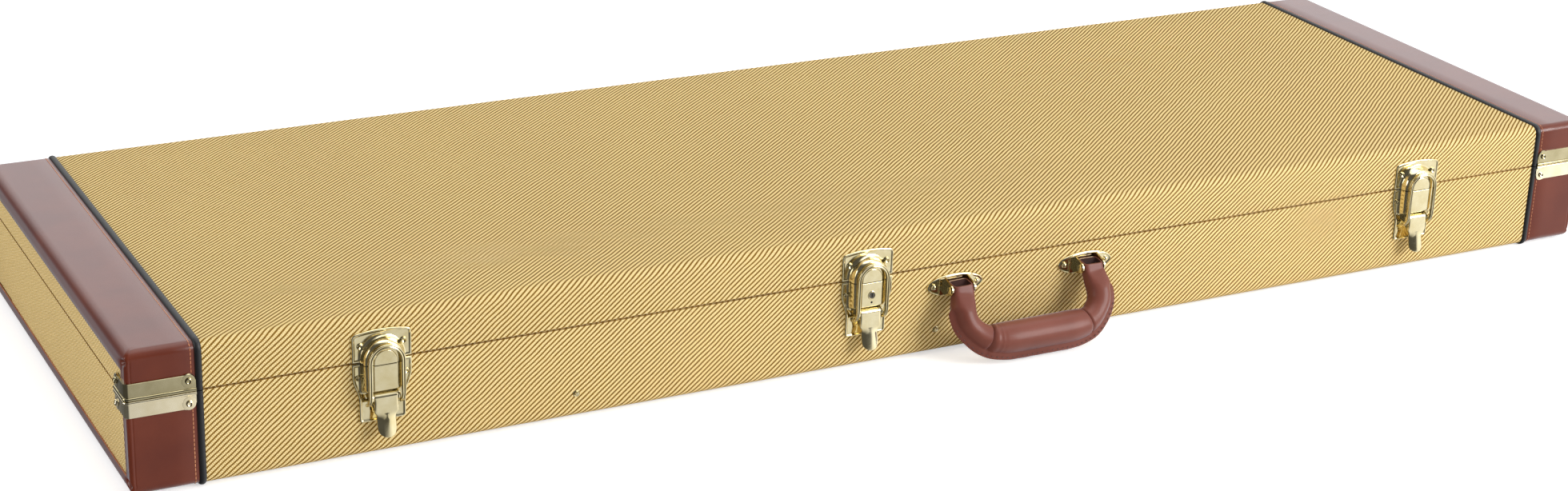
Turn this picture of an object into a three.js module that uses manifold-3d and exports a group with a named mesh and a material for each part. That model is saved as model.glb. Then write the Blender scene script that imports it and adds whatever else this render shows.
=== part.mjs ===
// A hard-shell bass guitar case: a cloth-covered plywood box with end wraps, a hinged lid,
// three draw latches, a carrying handle and a plush-lined inside.
// Millimetres. X runs along the case, Y from the front (handle side, negative) to the rear, Z up.
// The origin is on the floor, under the middle of the box.

import * as THREE from 'three';
import { RoundedBoxGeometry } from 'three/addons/geometries/RoundedBoxGeometry.js';
import { mergeVertices } from 'three/addons/utils/BufferGeometryUtils.js';
import Module from 'manifold-3d';

const wasm = await Module();
wasm.setup();

// The closed box, over its cloth
const case_length = 1200;
const case_depth = 375;
const case_height = 101;
const seam_height = 68;
const seam_gap = 0.6;
const edge_radius = 6;
const side_wall = 8;
const panel_wall = 5;

// Clearances and rounding shared by all pieces
const seat_gap = 0.3;
const overrun = 2;
const corner_relief = 1;
const quarter_steps = 4;
const small_steps = 3;
const curve_steps = 6;
const round_sides = 16;
const fitting_sides = 12;
const small_sides = 8;

// End wraps of leathercloth and the piping beside them
const wrap_length = 47.5;
const wrap_thickness = 1;
const wrap_top_border = 15;
const wrap_bottom_border = 11;
const wrap_side_border = 10;
const piping_radius = 1.8;
const piping_proud = 1.6;
const piping_sides = 8;

// Corner clamps: one on the lid and one on the base at each upright corner
const clamp_thickness = 1.2;
const clamp_height = 11.9;
const clamp_end_reach = 23;
const clamp_bead_height = 2.4;
const clamp_bead_proud = 1;
const clamp_lobe_radius = 4.8;
const clamp_lobe_foot = 4;
const clamp_rivet_rise = 7.8;
const rivet_radius = 2.3;
const rivet_height = 1.5;

// Draw latches
const latch_end_distance = 170;
const latch_lock_place = -65;
const latch_half_width = 21;
const latch_sheet = 1.2;
const keeper_side_height = 20;
const keeper_crown = 2.4;
const keeper_rivet_spread = 15;
const keeper_rivet_rise = 12;
const draw_foot_half_width = 15.5;
const draw_top_half_width = 12.7;
const draw_height = 8;
const boss_half_width = 8.3;
const boss_height = 9;
const boss_arch_rise = 1.7;
const loop_arch_rise = 2;
const loop_half_width = 13;
const loop_strip = 2.9;
const loop_depth = 2.6;
const loop_bevel = 0.4;
const plate_shoulder_drop = 13;
const plate_waist_drop = 25;
const plate_length = 43.5;
const plate_foot_half_width = 16.5;
const plate_rivet_spread = 16.8;
const plate_rivet_drop = 10.5;
const draw_end_half_width = 12.6;
const draw_end_drop = 18.7;
const housing_drop = 20.5;
const housing_relief_depth = 4;
const housing_relief_height = 3;
const pivot_drop = 24;
const pivot_out = 6;
const pin_radius = 1;
const pin_head_radius = 1.7;
const pin_head_thickness = 0.7;
const barrel_radius = 3;
const ear_thickness = 1.2;
const ear_radius = 3.3;
const lever_sheet = 1.3;
const lever_wall = 1.2;
const lever_web_drop = 34;
const lever_tip_drop = 51.3;
const lever_flare = 4.2;
const tongue_half_width = 6.6;
const loop_pivot_arm = 5.27;
const loop_pivot_back = 0.9;
const loop_stub_radius = 1.1;
const loop_eye_radius = 2.2;

// Key lock in the middle latch
const lock_drop = 10;
const lock_radius = 2.4;
const lock_depth = 4.7;
const keyway_width = 0.9;
const keyway_length = 3;
const keyway_depth = 2;
const guide_hole_drop = 15.4;
const guide_hole_radius = 0.85;

// Carrying handle and its brackets
const handle_place = 65;
const handle_pin_spacing = 112;
const handle_pin_height = 52;
const handle_pin_out = 10.5;
const handle_pin_radius = 1.9;
const handle_pin_head_radius = 2.9;
const handle_pin_head_thickness = 0.9;
const handle_tilt_degrees = 28;
const handle_reach = 42.6;
const handle_bulge = 2.6;
const handle_end_half_width = 7.9;
const handle_end_radius = 5;
const handle_leg_half_width = 9.6;
const handle_leg_half_depth = 9.4;
const handle_grip_half_width = 12.6;
const handle_grip_half_depth = 13;
const handle_seam_proud = 2.8;
const handle_seam_half = 1.4;
const handle_steps = 11;
const bracket_half_length = 23.5;
const bracket_half_height = 8.75;
const bracket_sheet = 1.4;
const bracket_rivet_spread = 18;
const bracket_ear_sheet = 1.4;
const bracket_ear_radius = 4;
const bracket_side_gap = 0.7;

// Rear hinges
const hinge_end_distance = 170;
const hinge_width = 45;
const hinge_leaf_height = 22;
const hinge_sheet = 1.5;
const knuckle_radius = 3.3;
const hinge_pin_radius = 1.3;
const knuckle_count = 5;
const hinge_screw_spread = 14;
const hinge_screw_rise = 14;

// Feet on the rear side, which the case stands on when it is upright
const foot_end_distance = 100;
const foot_height = 9;
const foot_radius = 8;
const foot_face_radius = 6.5;
const foot_margin = 18;

// Round-headed nails that hold the inner partitions through the front
const stud_head_distance = 310;
const stud_body_distance = 605;
const stud_height = 18;
const stud_washer_radius = 2.5;
const stud_washer_height = 0.6;
const stud_head_radius = 1.6;
const stud_head_height = 1.1;

// Plush-covered inside
const lining_wall = 6;
const lining_floor = 6;
const lining_top_drop = 2;
const body_bay_length = 540;
const neck_half_width = 50;
const head_bay_length = 265;
const head_half_width = 95;
const bay_corner = 25;
const lid_lining_top = 8;
const tray_wall = 8;
const tray_long_wall = 4;
const tray_floor = 3;
const tray_neck_gap = 10;
const tray_divider_share = 0.6;
const cradle_head_distance = 315;
const cradle_length = 28;
const cradle_height = 36;
const cradle_notch_radius = 27;
const cradle_notch_depth = 17;

// Places and sizes that follow from the ones above
const front_face = -case_depth / 2;
const end_face = case_length / 2;
const latch_outer_place = end_face - latch_end_distance;
const latch_places = { left: -latch_outer_place, middle: latch_lock_place, right: latch_outer_place };
const hinge_outer_place = end_face - hinge_end_distance;
const hinge_places = { left: -hinge_outer_place, middle: 0, right: hinge_outer_place };
const foot_spread = end_face - foot_end_distance;
const body_bay_start = end_face - body_bay_length;
const head_bay_end = head_bay_length - end_face;
const cradle_place = cradle_head_distance - end_face;
const stud_places = { left: stud_head_distance - end_face, right: end_face - stud_body_distance };
const piping_place = end_face - wrap_length;
const cloth_end = piping_place - piping_radius - seat_gap;
const wrap_start = piping_place + piping_radius + seat_gap;
const base_top = seam_height - seam_gap / 2;
const lid_bottom = seam_height + seam_gap / 2;
const pivot_height = seam_height - pivot_drop;
const loop_angle = Math.PI / 2 + Math.asin(loop_pivot_back / loop_pivot_arm);
const loop_pivot_out = pivot_out + loop_pivot_arm * Math.cos(loop_angle);
const loop_pivot_height = pivot_height - loop_pivot_arm * Math.sin(loop_angle);
const loop_back = boss_height + seat_gap;
const loop_front = loop_back + loop_depth;
const clamp_front_reach = wrap_length - piping_radius - 2 * seat_gap;
const inner_x = end_face - side_wall;
const inner_y = case_depth / 2 - side_wall;
const knuckle_place = knuckle_radius + seat_gap;
const tray_reach = inner_y - neck_half_width - tray_neck_gap;

const colours = {
  cloth: { color: 0xc9a65f, roughness: 0.85, metalness: 0 },
  leathercloth: { color: 0x74443a, roughness: 0.45, metalness: 0 },
  piping: { color: 0x26282b, roughness: 0.4, metalness: 0 },
  brass: { color: 0xd9c98a, roughness: 0.25, metalness: 1 },
  handle: { color: 0x7c4a42, roughness: 0.45, metalness: 0 },
  plush: { color: 0x5a1f26, roughness: 0.95, metalness: 0 },
  rubber: { color: 0x2b2522, roughness: 0.7, metalness: 0 },
};
const finishes = {};
for (const [name, look] of Object.entries(colours)) {
  finishes[name] = new THREE.MeshStandardMaterial(look);
}

// A closed geometry as a solid that can be joined and cut
function solidOf(geometry) {
  const plain = new THREE.BufferGeometry();
  plain.setAttribute('position', geometry.getAttribute('position'));
  if (geometry.index) {
    plain.setIndex(geometry.index);
  }
  const merged = mergeVertices(plain);
  const triVerts = new Uint32Array(merged.index.array);
  const vertProperties = new Float32Array(merged.getAttribute('position').array);
  return new wasm.Manifold(new wasm.Mesh({ numProp: 3, vertProperties, triVerts }));
}

// A joined or cut solid as a geometry again
function geometryOf(solid) {
  const mesh = solid.getMesh();
  const geometry = new THREE.BufferGeometry();
  geometry.setAttribute('position', new THREE.BufferAttribute(mesh.vertProperties, mesh.numProp));
  geometry.setIndex(new THREE.BufferAttribute(mesh.triVerts, 1));
  geometry.computeVertexNormals();
  return geometry;
}

function joined(solids) {
  return solids.reduce((whole, solid) => whole.add(solid));
}

// A box between two corners, each given as x, y, z
function box(low, high) {
  const size = high.map((value, i) => value - low[i]);
  const middle = high.map((value, i) => (value + low[i]) / 2);
  return solidOf(new THREE.BoxGeometry(...size).translate(...middle));
}

// The whole outline of the case, drawn in by an inset, with rounded edges
function roundedBox(inset, radius) {
  const length = case_length - 2 * inset;
  const depth = case_depth - 2 * inset;
  const height = case_height - 2 * inset;
  const rounded = new RoundedBoxGeometry(length, depth, height, quarter_steps / 2, radius);
  return solidOf(rounded.translate(0, 0, case_height / 2));
}

// A slab of the case's space between two places along it
function slab(start, end) {
  const half = case_depth / 2 + overrun;
  return box([start, -half, -overrun], [end, half, case_height + overrun]);
}

// The part of a solid that belongs to the base or to the lid
function half(solid, side) {
  const reach = [end_face + overrun, case_depth / 2 + overrun];
  const low = side === 'base' ? -overrun : lid_bottom;
  const high = side === 'base' ? base_top : case_height + overrun;
  return solid.intersect(box([-reach[0], -reach[1], low], [reach[0], reach[1], high]));
}

function polygon(points) {
  return new THREE.Shape(points.map(([x, y]) => new THREE.Vector2(x, y)));
}

function extruded(shape, depth, bevel = 0, steps = curve_steps) {
  return new THREE.ExtrudeGeometry(shape, {
    depth: depth - 2 * bevel,
    bevelEnabled: bevel > 0,
    bevelSize: bevel,
    bevelOffset: -bevel,
    bevelThickness: bevel,
    bevelSegments: 1,
    curveSegments: steps,
  }).translate(0, 0, bevel);
}

// Fittings are drawn facing the viewer: X along the case, Y up and Z out of the face.
// A front outline goes from one distance out of the face to another.
function frontPlate(shape, back, front, bevel = 0) {
  return solidOf(extruded(shape, front - back, bevel).translate(0, 0, back));
}

// A side outline, drawn as (out of the face, up), becomes a piece of some width along X
function sidePlate(shape, centre, width) {
  const plate = extruded(shape, width, 0, small_steps).translate(0, 0, -width / 2);
  return solidOf(plate.rotateY(-Math.PI / 2).translate(centre, 0, 0));
}

// A rod along X through a point given as (out of the face, up)
function crossRod(radius, start, end, out, up, sides = fitting_sides) {
  const rod = new THREE.CylinderGeometry(radius, radius, end - start, sides);
  return solidOf(rod.rotateZ(Math.PI / 2).translate((start + end) / 2, up, out));
}

// A turned piece that stands out of the face, from a profile of (radius, distance out)
function turned(profile, x, y, back, sides = small_sides) {
  const points = profile.map(([r, z]) => new THREE.Vector2(r, z));
  const lathe = new THREE.LatheGeometry(points, sides);
  return solidOf(lathe.rotateX(Math.PI / 2).translate(x, y, back));
}

// A domed rivet head whose foot is sunk a little into the sheet that it holds
function rivet(x, y, sheet) {
  const sink = sheet / 2;
  const dome_share = 0.7;
  return turned([
    [0, 0],
    [rivet_radius, 0],
    [rivet_radius, sink],
    [rivet_radius * dome_share, sink + rivet_height * dome_share],
    [0, sink + rivet_height],
  ], x, y, sheet - sink);
}

// Joins rings of points, each of as many points, into one closed skin with a fan at each end
function loft(rings) {
  const count = rings[0].length;
  const points = rings.flat();
  const faces = [];
  for (let ring = 0; ring < rings.length - 1; ring++) {
    for (let i = 0; i < count; i++) {
      const a = ring * count + i;
      const b = ring * count + (i + 1) % count;
      faces.push(a, b, b + count, a, b + count, a + count);
    }
  }
  for (const [first, turn] of [[0, 1], [(rings.length - 1) * count, 0]]) {
    for (let i = 1; i < count - 1; i++) {
      faces.push(first, first + i + turn, first + i + 1 - turn);
    }
  }
  const geometry = new THREE.BufferGeometry().setFromPoints(points);
  geometry.setIndex(faces);
  return solidOf(geometry);
}

// A path through given points with given directions, which an extrusion steps through exactly
class Route extends THREE.Curve {
  constructor(points, tangents) {
    super();
    this.points = points;
    this.tangents = tangents;
  }

  getPoint(t) {
    return this.points[Math.round(t * (this.points.length - 1))].clone();
  }

  getPointAt(u) {
    return this.getPoint(u);
  }

  getTangentAt(u) {
    return this.tangents[Math.round(u * (this.points.length - 1))].clone();
  }
}

// The running hole for a small rod along X, out to a reach on both sides
function rodHole(radius, reach, out, up) {
  return crossRod(radius + seat_gap, -reach, reach, out, up, small_sides);
}

// The cloth-covered plywood box, stepped in under the end wraps and grooved for the piping
function shell(side) {
  const groove = piping_radius * 2 - piping_proud + seat_gap;
  const body = roundedBox(0, edge_radius).intersect(slab(-cloth_end, cloth_end));
  const ends = roundedBox(wrap_thickness, edge_radius - wrap_thickness + corner_relief)
    .subtract(slab(-wrap_start, wrap_start));
  const core_half = wrap_start + overrun;
  const core = roundedBox(groove, edge_radius).intersect(slab(-core_half, core_half));
  const hollow = box([-inner_x, -inner_y, panel_wall], [inner_x, inner_y, case_height - panel_wall]);
  return half(joined([body, ends, core]).subtract(hollow), side);
}

// The bent sheet of leathercloth over one end, open round the cloth panel of the end face
function endWrap(side) {
  const inner = roundedBox(wrap_thickness, edge_radius - wrap_thickness);
  const window_half = case_depth / 2 - wrap_side_border;
  const window = box(
    [end_face - edge_radius, -window_half, wrap_bottom_border],
    [end_face + overrun, window_half, case_height - wrap_top_border],
  );
  const sheet = roundedBox(0, edge_radius)
    .subtract(inner)
    .intersect(slab(wrap_start, end_face + overrun))
    .subtract(window);
  return half(sheet, side);
}

// Round piping that runs up the front, across the panel and down the rear
function piping(side) {
  const sink = piping_radius - piping_proud;
  const across = case_depth / 2 - sink;
  const panel = side === 'base' ? sink : case_height - sink;
  const seam = side === 'base' ? base_top : lid_bottom;
  const inward = side === 'base' ? 1 : -1;
  const bend = edge_radius - sink;
  const points = [];
  const tangents = [];
  const add = (y, z, angle) => {
    points.push(new THREE.Vector3(0, y, z));
    tangents.push(new THREE.Vector3(0, Math.sin(angle), -inward * Math.cos(angle)));
  };
  add(-across, seam, 0);
  for (let step = 0; step <= quarter_steps; step++) {
    const angle = step / quarter_steps * Math.PI / 2;
    const y = -across + bend * (1 - Math.cos(angle));
    add(y, panel + inward * bend * (1 - Math.sin(angle)), angle);
  }
  for (let step = 0; step <= quarter_steps; step++) {
    const angle = step / quarter_steps * Math.PI / 2;
    const y = across - bend * (1 - Math.sin(angle));
    add(y, panel + inward * bend * (1 - Math.cos(angle)), Math.PI / 2 + angle);
  }
  add(across, seam, Math.PI);
  const section = new THREE.Shape();
  section.absarc(0, 0, piping_radius, 0, 2 * Math.PI, false);
  return solidOf(new THREE.ExtrudeGeometry(section, {
    extrudePath: new Route(points, tangents),
    steps: points.length - 1,
    curveSegments: piping_sides / 2,
  }));
}

// The plan of a sheet bent round an upright corner, a distance proud of the box, whose leaves
// stop short of their full reach. hand is 1 for a front left corner and -1 for its mirror image.
function cornerPlan(proud, hand, short) {
  const inner = edge_radius - corner_relief;
  const outer = inner + proud;
  const reach_x = clamp_front_reach - short;
  const reach_y = clamp_end_reach - short;
  const points = [[reach_x, 0], [reach_x, -proud]];
  for (let step = 0; step <= quarter_steps; step++) {
    const angle = step / quarter_steps * Math.PI / 2;
    points.push([inner - outer * Math.sin(angle), inner - outer * Math.cos(angle)]);
  }
  points.push([-proud, reach_y], [0, reach_y]);
  for (let step = quarter_steps; step >= 0; step--) {
    const angle = step / quarter_steps * Math.PI / 2;
    points.push([inner - inner * Math.sin(angle), inner - inner * Math.cos(angle)]);
  }
  return polygon(points.map(([x, y]) => [hand * x, y]));
}

// One half of a corner clamp, with its rolled bead at the seam and a riveted lobe on each leaf.
// Its corner is the box's corner, with the leaves along +X and +Y when hand is 1.
function cornerClamp(side, hand) {
  const up = side === 'lid' ? 1 : -1;
  const seam = side === 'lid' ? lid_bottom : base_top;
  const band = (proud, height, short) => {
    const low = up > 0 ? seam : seam - height;
    return solidOf(extruded(cornerPlan(proud, hand, short), height).translate(0, 0, low));
  };
  const rivet_height_here = seam + up * clamp_rivet_rise;
  const lobe = (x) => {
    const disc = new THREE.Shape();
    disc.absarc(x, rivet_height_here, clamp_lobe_radius, 0, 2 * Math.PI, false);
    return [frontPlate(disc, 0, clamp_thickness), rivet(x, rivet_height_here, clamp_thickness)];
  };
  const front_x = hand * (clamp_front_reach - clamp_lobe_radius);
  const end_x = hand * (clamp_end_reach - clamp_lobe_radius);
  const on_front = lobe(front_x).map((solid) => solid.rotate([90, 0, 0]));
  const on_end = lobe(-end_x).map((solid) => solid.rotate([90, 0, 0]).rotate([0, 0, -90 * hand]));
  return joined([
    band(clamp_thickness, clamp_height, clamp_lobe_radius),
    band(clamp_thickness, clamp_lobe_foot, 0),
    band(clamp_thickness + clamp_bead_proud, clamp_bead_height, 0),
    ...on_front,
    ...on_end,
  ]);
}

// Points of an outline with straight sides and a half-round top
function archPoints(half_width, bottom, centre) {
  const points = [[-half_width, bottom], [half_width, bottom]];
  const steps = 2 * quarter_steps;
  for (let step = 0; step <= steps; step++) {
    const angle = step / steps * Math.PI;
    points.push([half_width * Math.cos(angle), centre + half_width * Math.sin(angle)]);
  }
  return points;
}

// A drawn form that narrows from its foot in the sheet to its flat top
function drawnForm(foot, top) {
  const ring = (points, out) => points.map(([x, y]) => new THREE.Vector3(x, y, out));
  return loft([ring(foot, latch_sheet / 2), ring(top, draw_height)]);
}

// The lid's half of a latch: a crowned plate with an arched form and the boss the loop rides round
function latchKeeper() {
  const top = lid_bottom + keeper_side_height;
  const outline = new THREE.Shape();
  outline.moveTo(-latch_half_width, lid_bottom);
  outline.lineTo(latch_half_width, lid_bottom);
  outline.lineTo(latch_half_width, top);
  outline.quadraticCurveTo(0, top + 2 * keeper_crown, -latch_half_width, top);
  const arch_centre = seam_height + loop_arch_rise;
  const rivets = [-1, 1].map((hand) => {
    return rivet(hand * keeper_rivet_spread, seam_height + keeper_rivet_rise, latch_sheet);
  });
  return joined([
    frontPlate(outline, 0, latch_sheet),
    drawnForm(
      archPoints(draw_foot_half_width, lid_bottom, arch_centre),
      archPoints(draw_top_half_width, lid_bottom, arch_centre),
    ),
    frontPlate(
      polygon(archPoints(boss_half_width, lid_bottom, seam_height + boss_arch_rise)),
      latch_sheet / 2,
      boss_height,
      loop_bevel,
    ),
    ...rivets,
  ]);
}

// The base's half of a latch: a waisted plate, its drawn form and housing, and the lever's ears
function latchPlate(locked) {
  const level = (drop) => seam_height - drop;
  const outline = [];
  for (const [half_width, drop] of [
    [latch_half_width, seam_height - base_top],
    [latch_half_width, plate_shoulder_drop],
    [plate_foot_half_width, plate_waist_drop],
    [plate_foot_half_width, plate_length],
  ]) {
    outline.unshift([-half_width, level(drop)]);
    outline.push([half_width, level(drop)]);
  }
  const form = (top_half, end_half, end_drop) => [
    [-end_half, level(end_drop)],
    [end_half, level(end_drop)],
    [top_half, base_top],
    [-top_half, base_top],
  ];
  const end_slope = draw_foot_half_width - draw_top_half_width;
  const housing = polygon([
    [latch_sheet / 2, level(housing_drop)],
    [boss_height - housing_relief_depth, level(housing_drop)],
    [boss_height, level(housing_drop) + housing_relief_height],
    [boss_height, base_top],
    [latch_sheet / 2, base_top],
  ]);
  const ear = new THREE.Shape();
  ear.moveTo(latch_sheet / 2, pivot_height - ear_radius);
  ear.lineTo(pivot_out, pivot_height - ear_radius);
  ear.absarc(pivot_out, pivot_height, ear_radius, -Math.PI / 2, Math.PI / 2, false);
  ear.lineTo(latch_sheet / 2, pivot_height + ear_radius);
  const ear_centre = boss_half_width + seat_gap + ear_thickness / 2;
  const ears = [-1, 1].map((hand) => sidePlate(ear, hand * ear_centre, ear_thickness));
  const rivets = [-1, 1].map((hand) => {
    return rivet(hand * plate_rivet_spread, level(plate_rivet_drop), latch_sheet);
  });
  const whole = joined([
    frontPlate(polygon(outline), 0, latch_sheet),
    drawnForm(
      form(draw_foot_half_width, draw_end_half_width + end_slope / 2, draw_end_drop + end_slope),
      form(draw_top_half_width, draw_end_half_width - end_slope / 2, draw_end_drop),
    ),
    sidePlate(housing, 0, 2 * boss_half_width),
    ...ears,
    ...rivets,
  ]);
  const bore_half = ear_centre + ear_thickness;
  const bore = rodHole(pin_radius, bore_half, pivot_out, pivot_height);
  return locked ? whole.subtract(bore).subtract(lockBore()) : whole.subtract(bore);
}

// The cylinder's bore and the small guide hole under it
function lockBore() {
  const back = boss_height - lock_depth - seat_gap;
  const holes = [[lock_drop, lock_radius + seat_gap], [guide_hole_drop, guide_hole_radius]];
  return joined(holes.map(([drop, radius]) => {
    const hole = new THREE.Shape();
    hole.absarc(0, seam_height - drop, radius, 0, 2 * Math.PI, false);
    return frontPlate(hole, back, boss_height + overrun);
  }));
}

// The key cylinder, with an upright keyway when it is locked
function lockCylinder() {
  const centre = seam_height - lock_drop;
  const front = boss_height + seat_gap;
  const disc = new THREE.Shape();
  disc.absarc(0, centre, lock_radius, 0, 2 * Math.PI, false);
  const keyway = box(
    [-keyway_width / 2, centre - keyway_length / 2, front - keyway_depth],
    [keyway_width / 2, centre + keyway_length / 2, front + overrun],
  );
  return frontPlate(disc, boss_height - lock_depth, front).subtract(keyway);
}

// The lever: a barrel on the pin, a channel that carries the loop, and a flared tongue
function latchLever() {
  const web_front = pivot_out + barrel_radius;
  const web_end = seam_height - lever_web_drop;
  const tip = seam_height - lever_tip_drop;
  const front_line = [[web_front, pivot_height]];
  const back_line = [[web_front - lever_sheet, pivot_height]];
  for (let step = 0; step <= quarter_steps; step++) {
    const share = step / quarter_steps;
    const out = web_front + lever_flare * share * share;
    const up = web_end + (tip - web_end) * share;
    front_line.push([out, up]);
    back_line.push([out - lever_sheet, up]);
  }
  const width = 2 * boss_half_width;
  const outline = polygon([
    [-boss_half_width, pivot_height + barrel_radius + overrun],
    [-boss_half_width, web_end],
    [-tongue_half_width, web_end - (boss_half_width - tongue_half_width)],
    ...archPoints(tongue_half_width, 0, 0).slice(2).map(([x, y]) => [-x, tip + tongue_half_width - y]),
    [tongue_half_width, web_end - (boss_half_width - tongue_half_width)],
    [boss_half_width, web_end],
    [boss_half_width, pivot_height + barrel_radius + overrun],
  ]);
  const blade = sidePlate(polygon([...front_line, ...back_line.reverse()]), 0, width)
    .intersect(frontPlate(outline, 0, web_front + lever_flare + overrun));
  const cheek = new THREE.Shape();
  cheek.moveTo(web_front, pivot_height);
  cheek.absarc(pivot_out, pivot_height, barrel_radius, 0, Math.PI, false);
  cheek.lineTo(loop_pivot_out - loop_eye_radius, loop_pivot_height);
  cheek.absarc(loop_pivot_out, loop_pivot_height, loop_eye_radius, Math.PI, 1.5 * Math.PI, false);
  cheek.lineTo(web_front, loop_pivot_height - loop_eye_radius);
  const cheek_centre = boss_half_width - lever_wall / 2;
  const cheeks = [-1, 1].map((hand) => sidePlate(cheek, hand * cheek_centre, lever_wall));
  const barrel = crossRod(barrel_radius, -boss_half_width, boss_half_width, pivot_out, pivot_height);
  const reach = boss_half_width + overrun;
  return joined([blade, barrel, ...cheeks])
    .subtract(rodHole(pin_radius, reach, pivot_out, pivot_height))
    .subtract(rodHole(loop_stub_radius, reach, loop_pivot_out, loop_pivot_height));
}

// A pin with a low head at each end, along X
function headedPin(radius, head_radius, head_thickness, half_grip) {
  const half_length = half_grip + head_thickness;
  return joined([
    crossRod(radius, -half_length, half_length, 0, 0, small_sides),
    crossRod(head_radius, half_grip, half_length, 0, 0),
    crossRod(head_radius, -half_length, -half_grip, 0, 0),
  ]);
}

function leverPin() {
  const half_grip = boss_half_width + seat_gap + ear_thickness + seat_gap / 2;
  return headedPin(pin_radius, pin_head_radius, pin_head_thickness, half_grip)
    .translate([0, pivot_height, pivot_out]);
}

// The loop: an arch with straight legs, whose ends turn back and in to the lever
function latchLoop() {
  const arch_centre = seam_height + loop_arch_rise;
  const inner_half = loop_half_width - loop_strip;
  const leg_end = pivot_height + barrel_radius;
  const outline = new THREE.Shape();
  outline.moveTo(-loop_half_width, leg_end);
  outline.lineTo(-inner_half, leg_end);
  outline.lineTo(-inner_half, arch_centre);
  outline.absarc(0, arch_centre, inner_half, Math.PI, 0, true);
  outline.lineTo(inner_half, leg_end);
  outline.lineTo(loop_half_width, leg_end);
  outline.lineTo(loop_half_width, arch_centre);
  outline.absarc(0, arch_centre, loop_half_width, 0, Math.PI, false);
  outline.lineTo(-loop_half_width, leg_end);
  const middle_out = (loop_back + loop_front) / 2;
  const bend = new THREE.QuadraticBezierCurve(
    new THREE.Vector2(middle_out, leg_end + loop_bevel),
    new THREE.Vector2(middle_out, loop_pivot_height + barrel_radius),
    new THREE.Vector2(loop_pivot_out, loop_pivot_height),
  );
  const sides = [[], []];
  for (let step = 0; step <= quarter_steps; step++) {
    const at = bend.getPoint(step / quarter_steps);
    const along = bend.getTangent(step / quarter_steps);
    sides[0].push([at.x - along.y * loop_depth / 2, at.y + along.x * loop_depth / 2]);
    sides[1].unshift([at.x + along.y * loop_depth / 2, at.y - along.x * loop_depth / 2]);
  }
  const pieces = [frontPlate(outline, loop_back, loop_front, loop_bevel)];
  const foot = boss_half_width - lever_wall - seat_gap;
  for (const hand of [-1, 1]) {
    const leg = hand * (loop_half_width - loop_strip / 2);
    const ends = [hand * inner_half, hand * loop_half_width].sort((a, b) => a - b);
    const stub = [hand * foot, hand * (inner_half + overrun / 2)].sort((a, b) => a - b);
    pieces.push(sidePlate(polygon([...sides[0], ...sides[1]]), leg, loop_strip));
    pieces.push(crossRod(loop_depth / 2, ...ends, loop_pivot_out, loop_pivot_height));
    pieces.push(
      crossRod(loop_stub_radius, ...stub, loop_pivot_out, loop_pivot_height, small_sides),
    );
  }
  return joined(pieces);
}

// A handle bracket: an oval plate with two ears that carry the pin
function handleBracket() {
  const oval = new THREE.Shape();
  oval.absellipse(0, 0, bracket_half_length, bracket_half_height, 0, 2 * Math.PI, false);
  const ear = new THREE.Shape();
  const foot_half = bracket_half_height - bracket_sheet;
  ear.moveTo(bracket_sheet / 2, -foot_half);
  ear.lineTo(handle_pin_out, -bracket_ear_radius);
  ear.absarc(handle_pin_out, 0, bracket_ear_radius, -Math.PI / 2, Math.PI / 2, false);
  ear.lineTo(bracket_sheet / 2, foot_half);
  const centre = handle_end_half_width + bracket_side_gap + bracket_ear_sheet / 2;
  const ears = [-1, 1].map((hand) => sidePlate(ear, hand * centre, bracket_ear_sheet));
  const rivets = [-1, 1].map((hand) => rivet(hand * bracket_rivet_spread, 0, bracket_sheet));
  const reach = centre + bracket_ear_sheet;
  return joined([frontPlate(oval, 0, bracket_sheet), ...ears, ...rivets])
    .subtract(crossRod(handle_pin_radius + seat_gap, -reach, reach, handle_pin_out, 0));
}

function handlePin() {
  const half_grip = handle_end_half_width + bracket_side_gap + bracket_ear_sheet + seat_gap / 2;
  return headedPin(handle_pin_radius, handle_pin_head_radius, handle_pin_head_thickness, half_grip)
    .translate([0, 0, handle_pin_out]);
}

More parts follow.
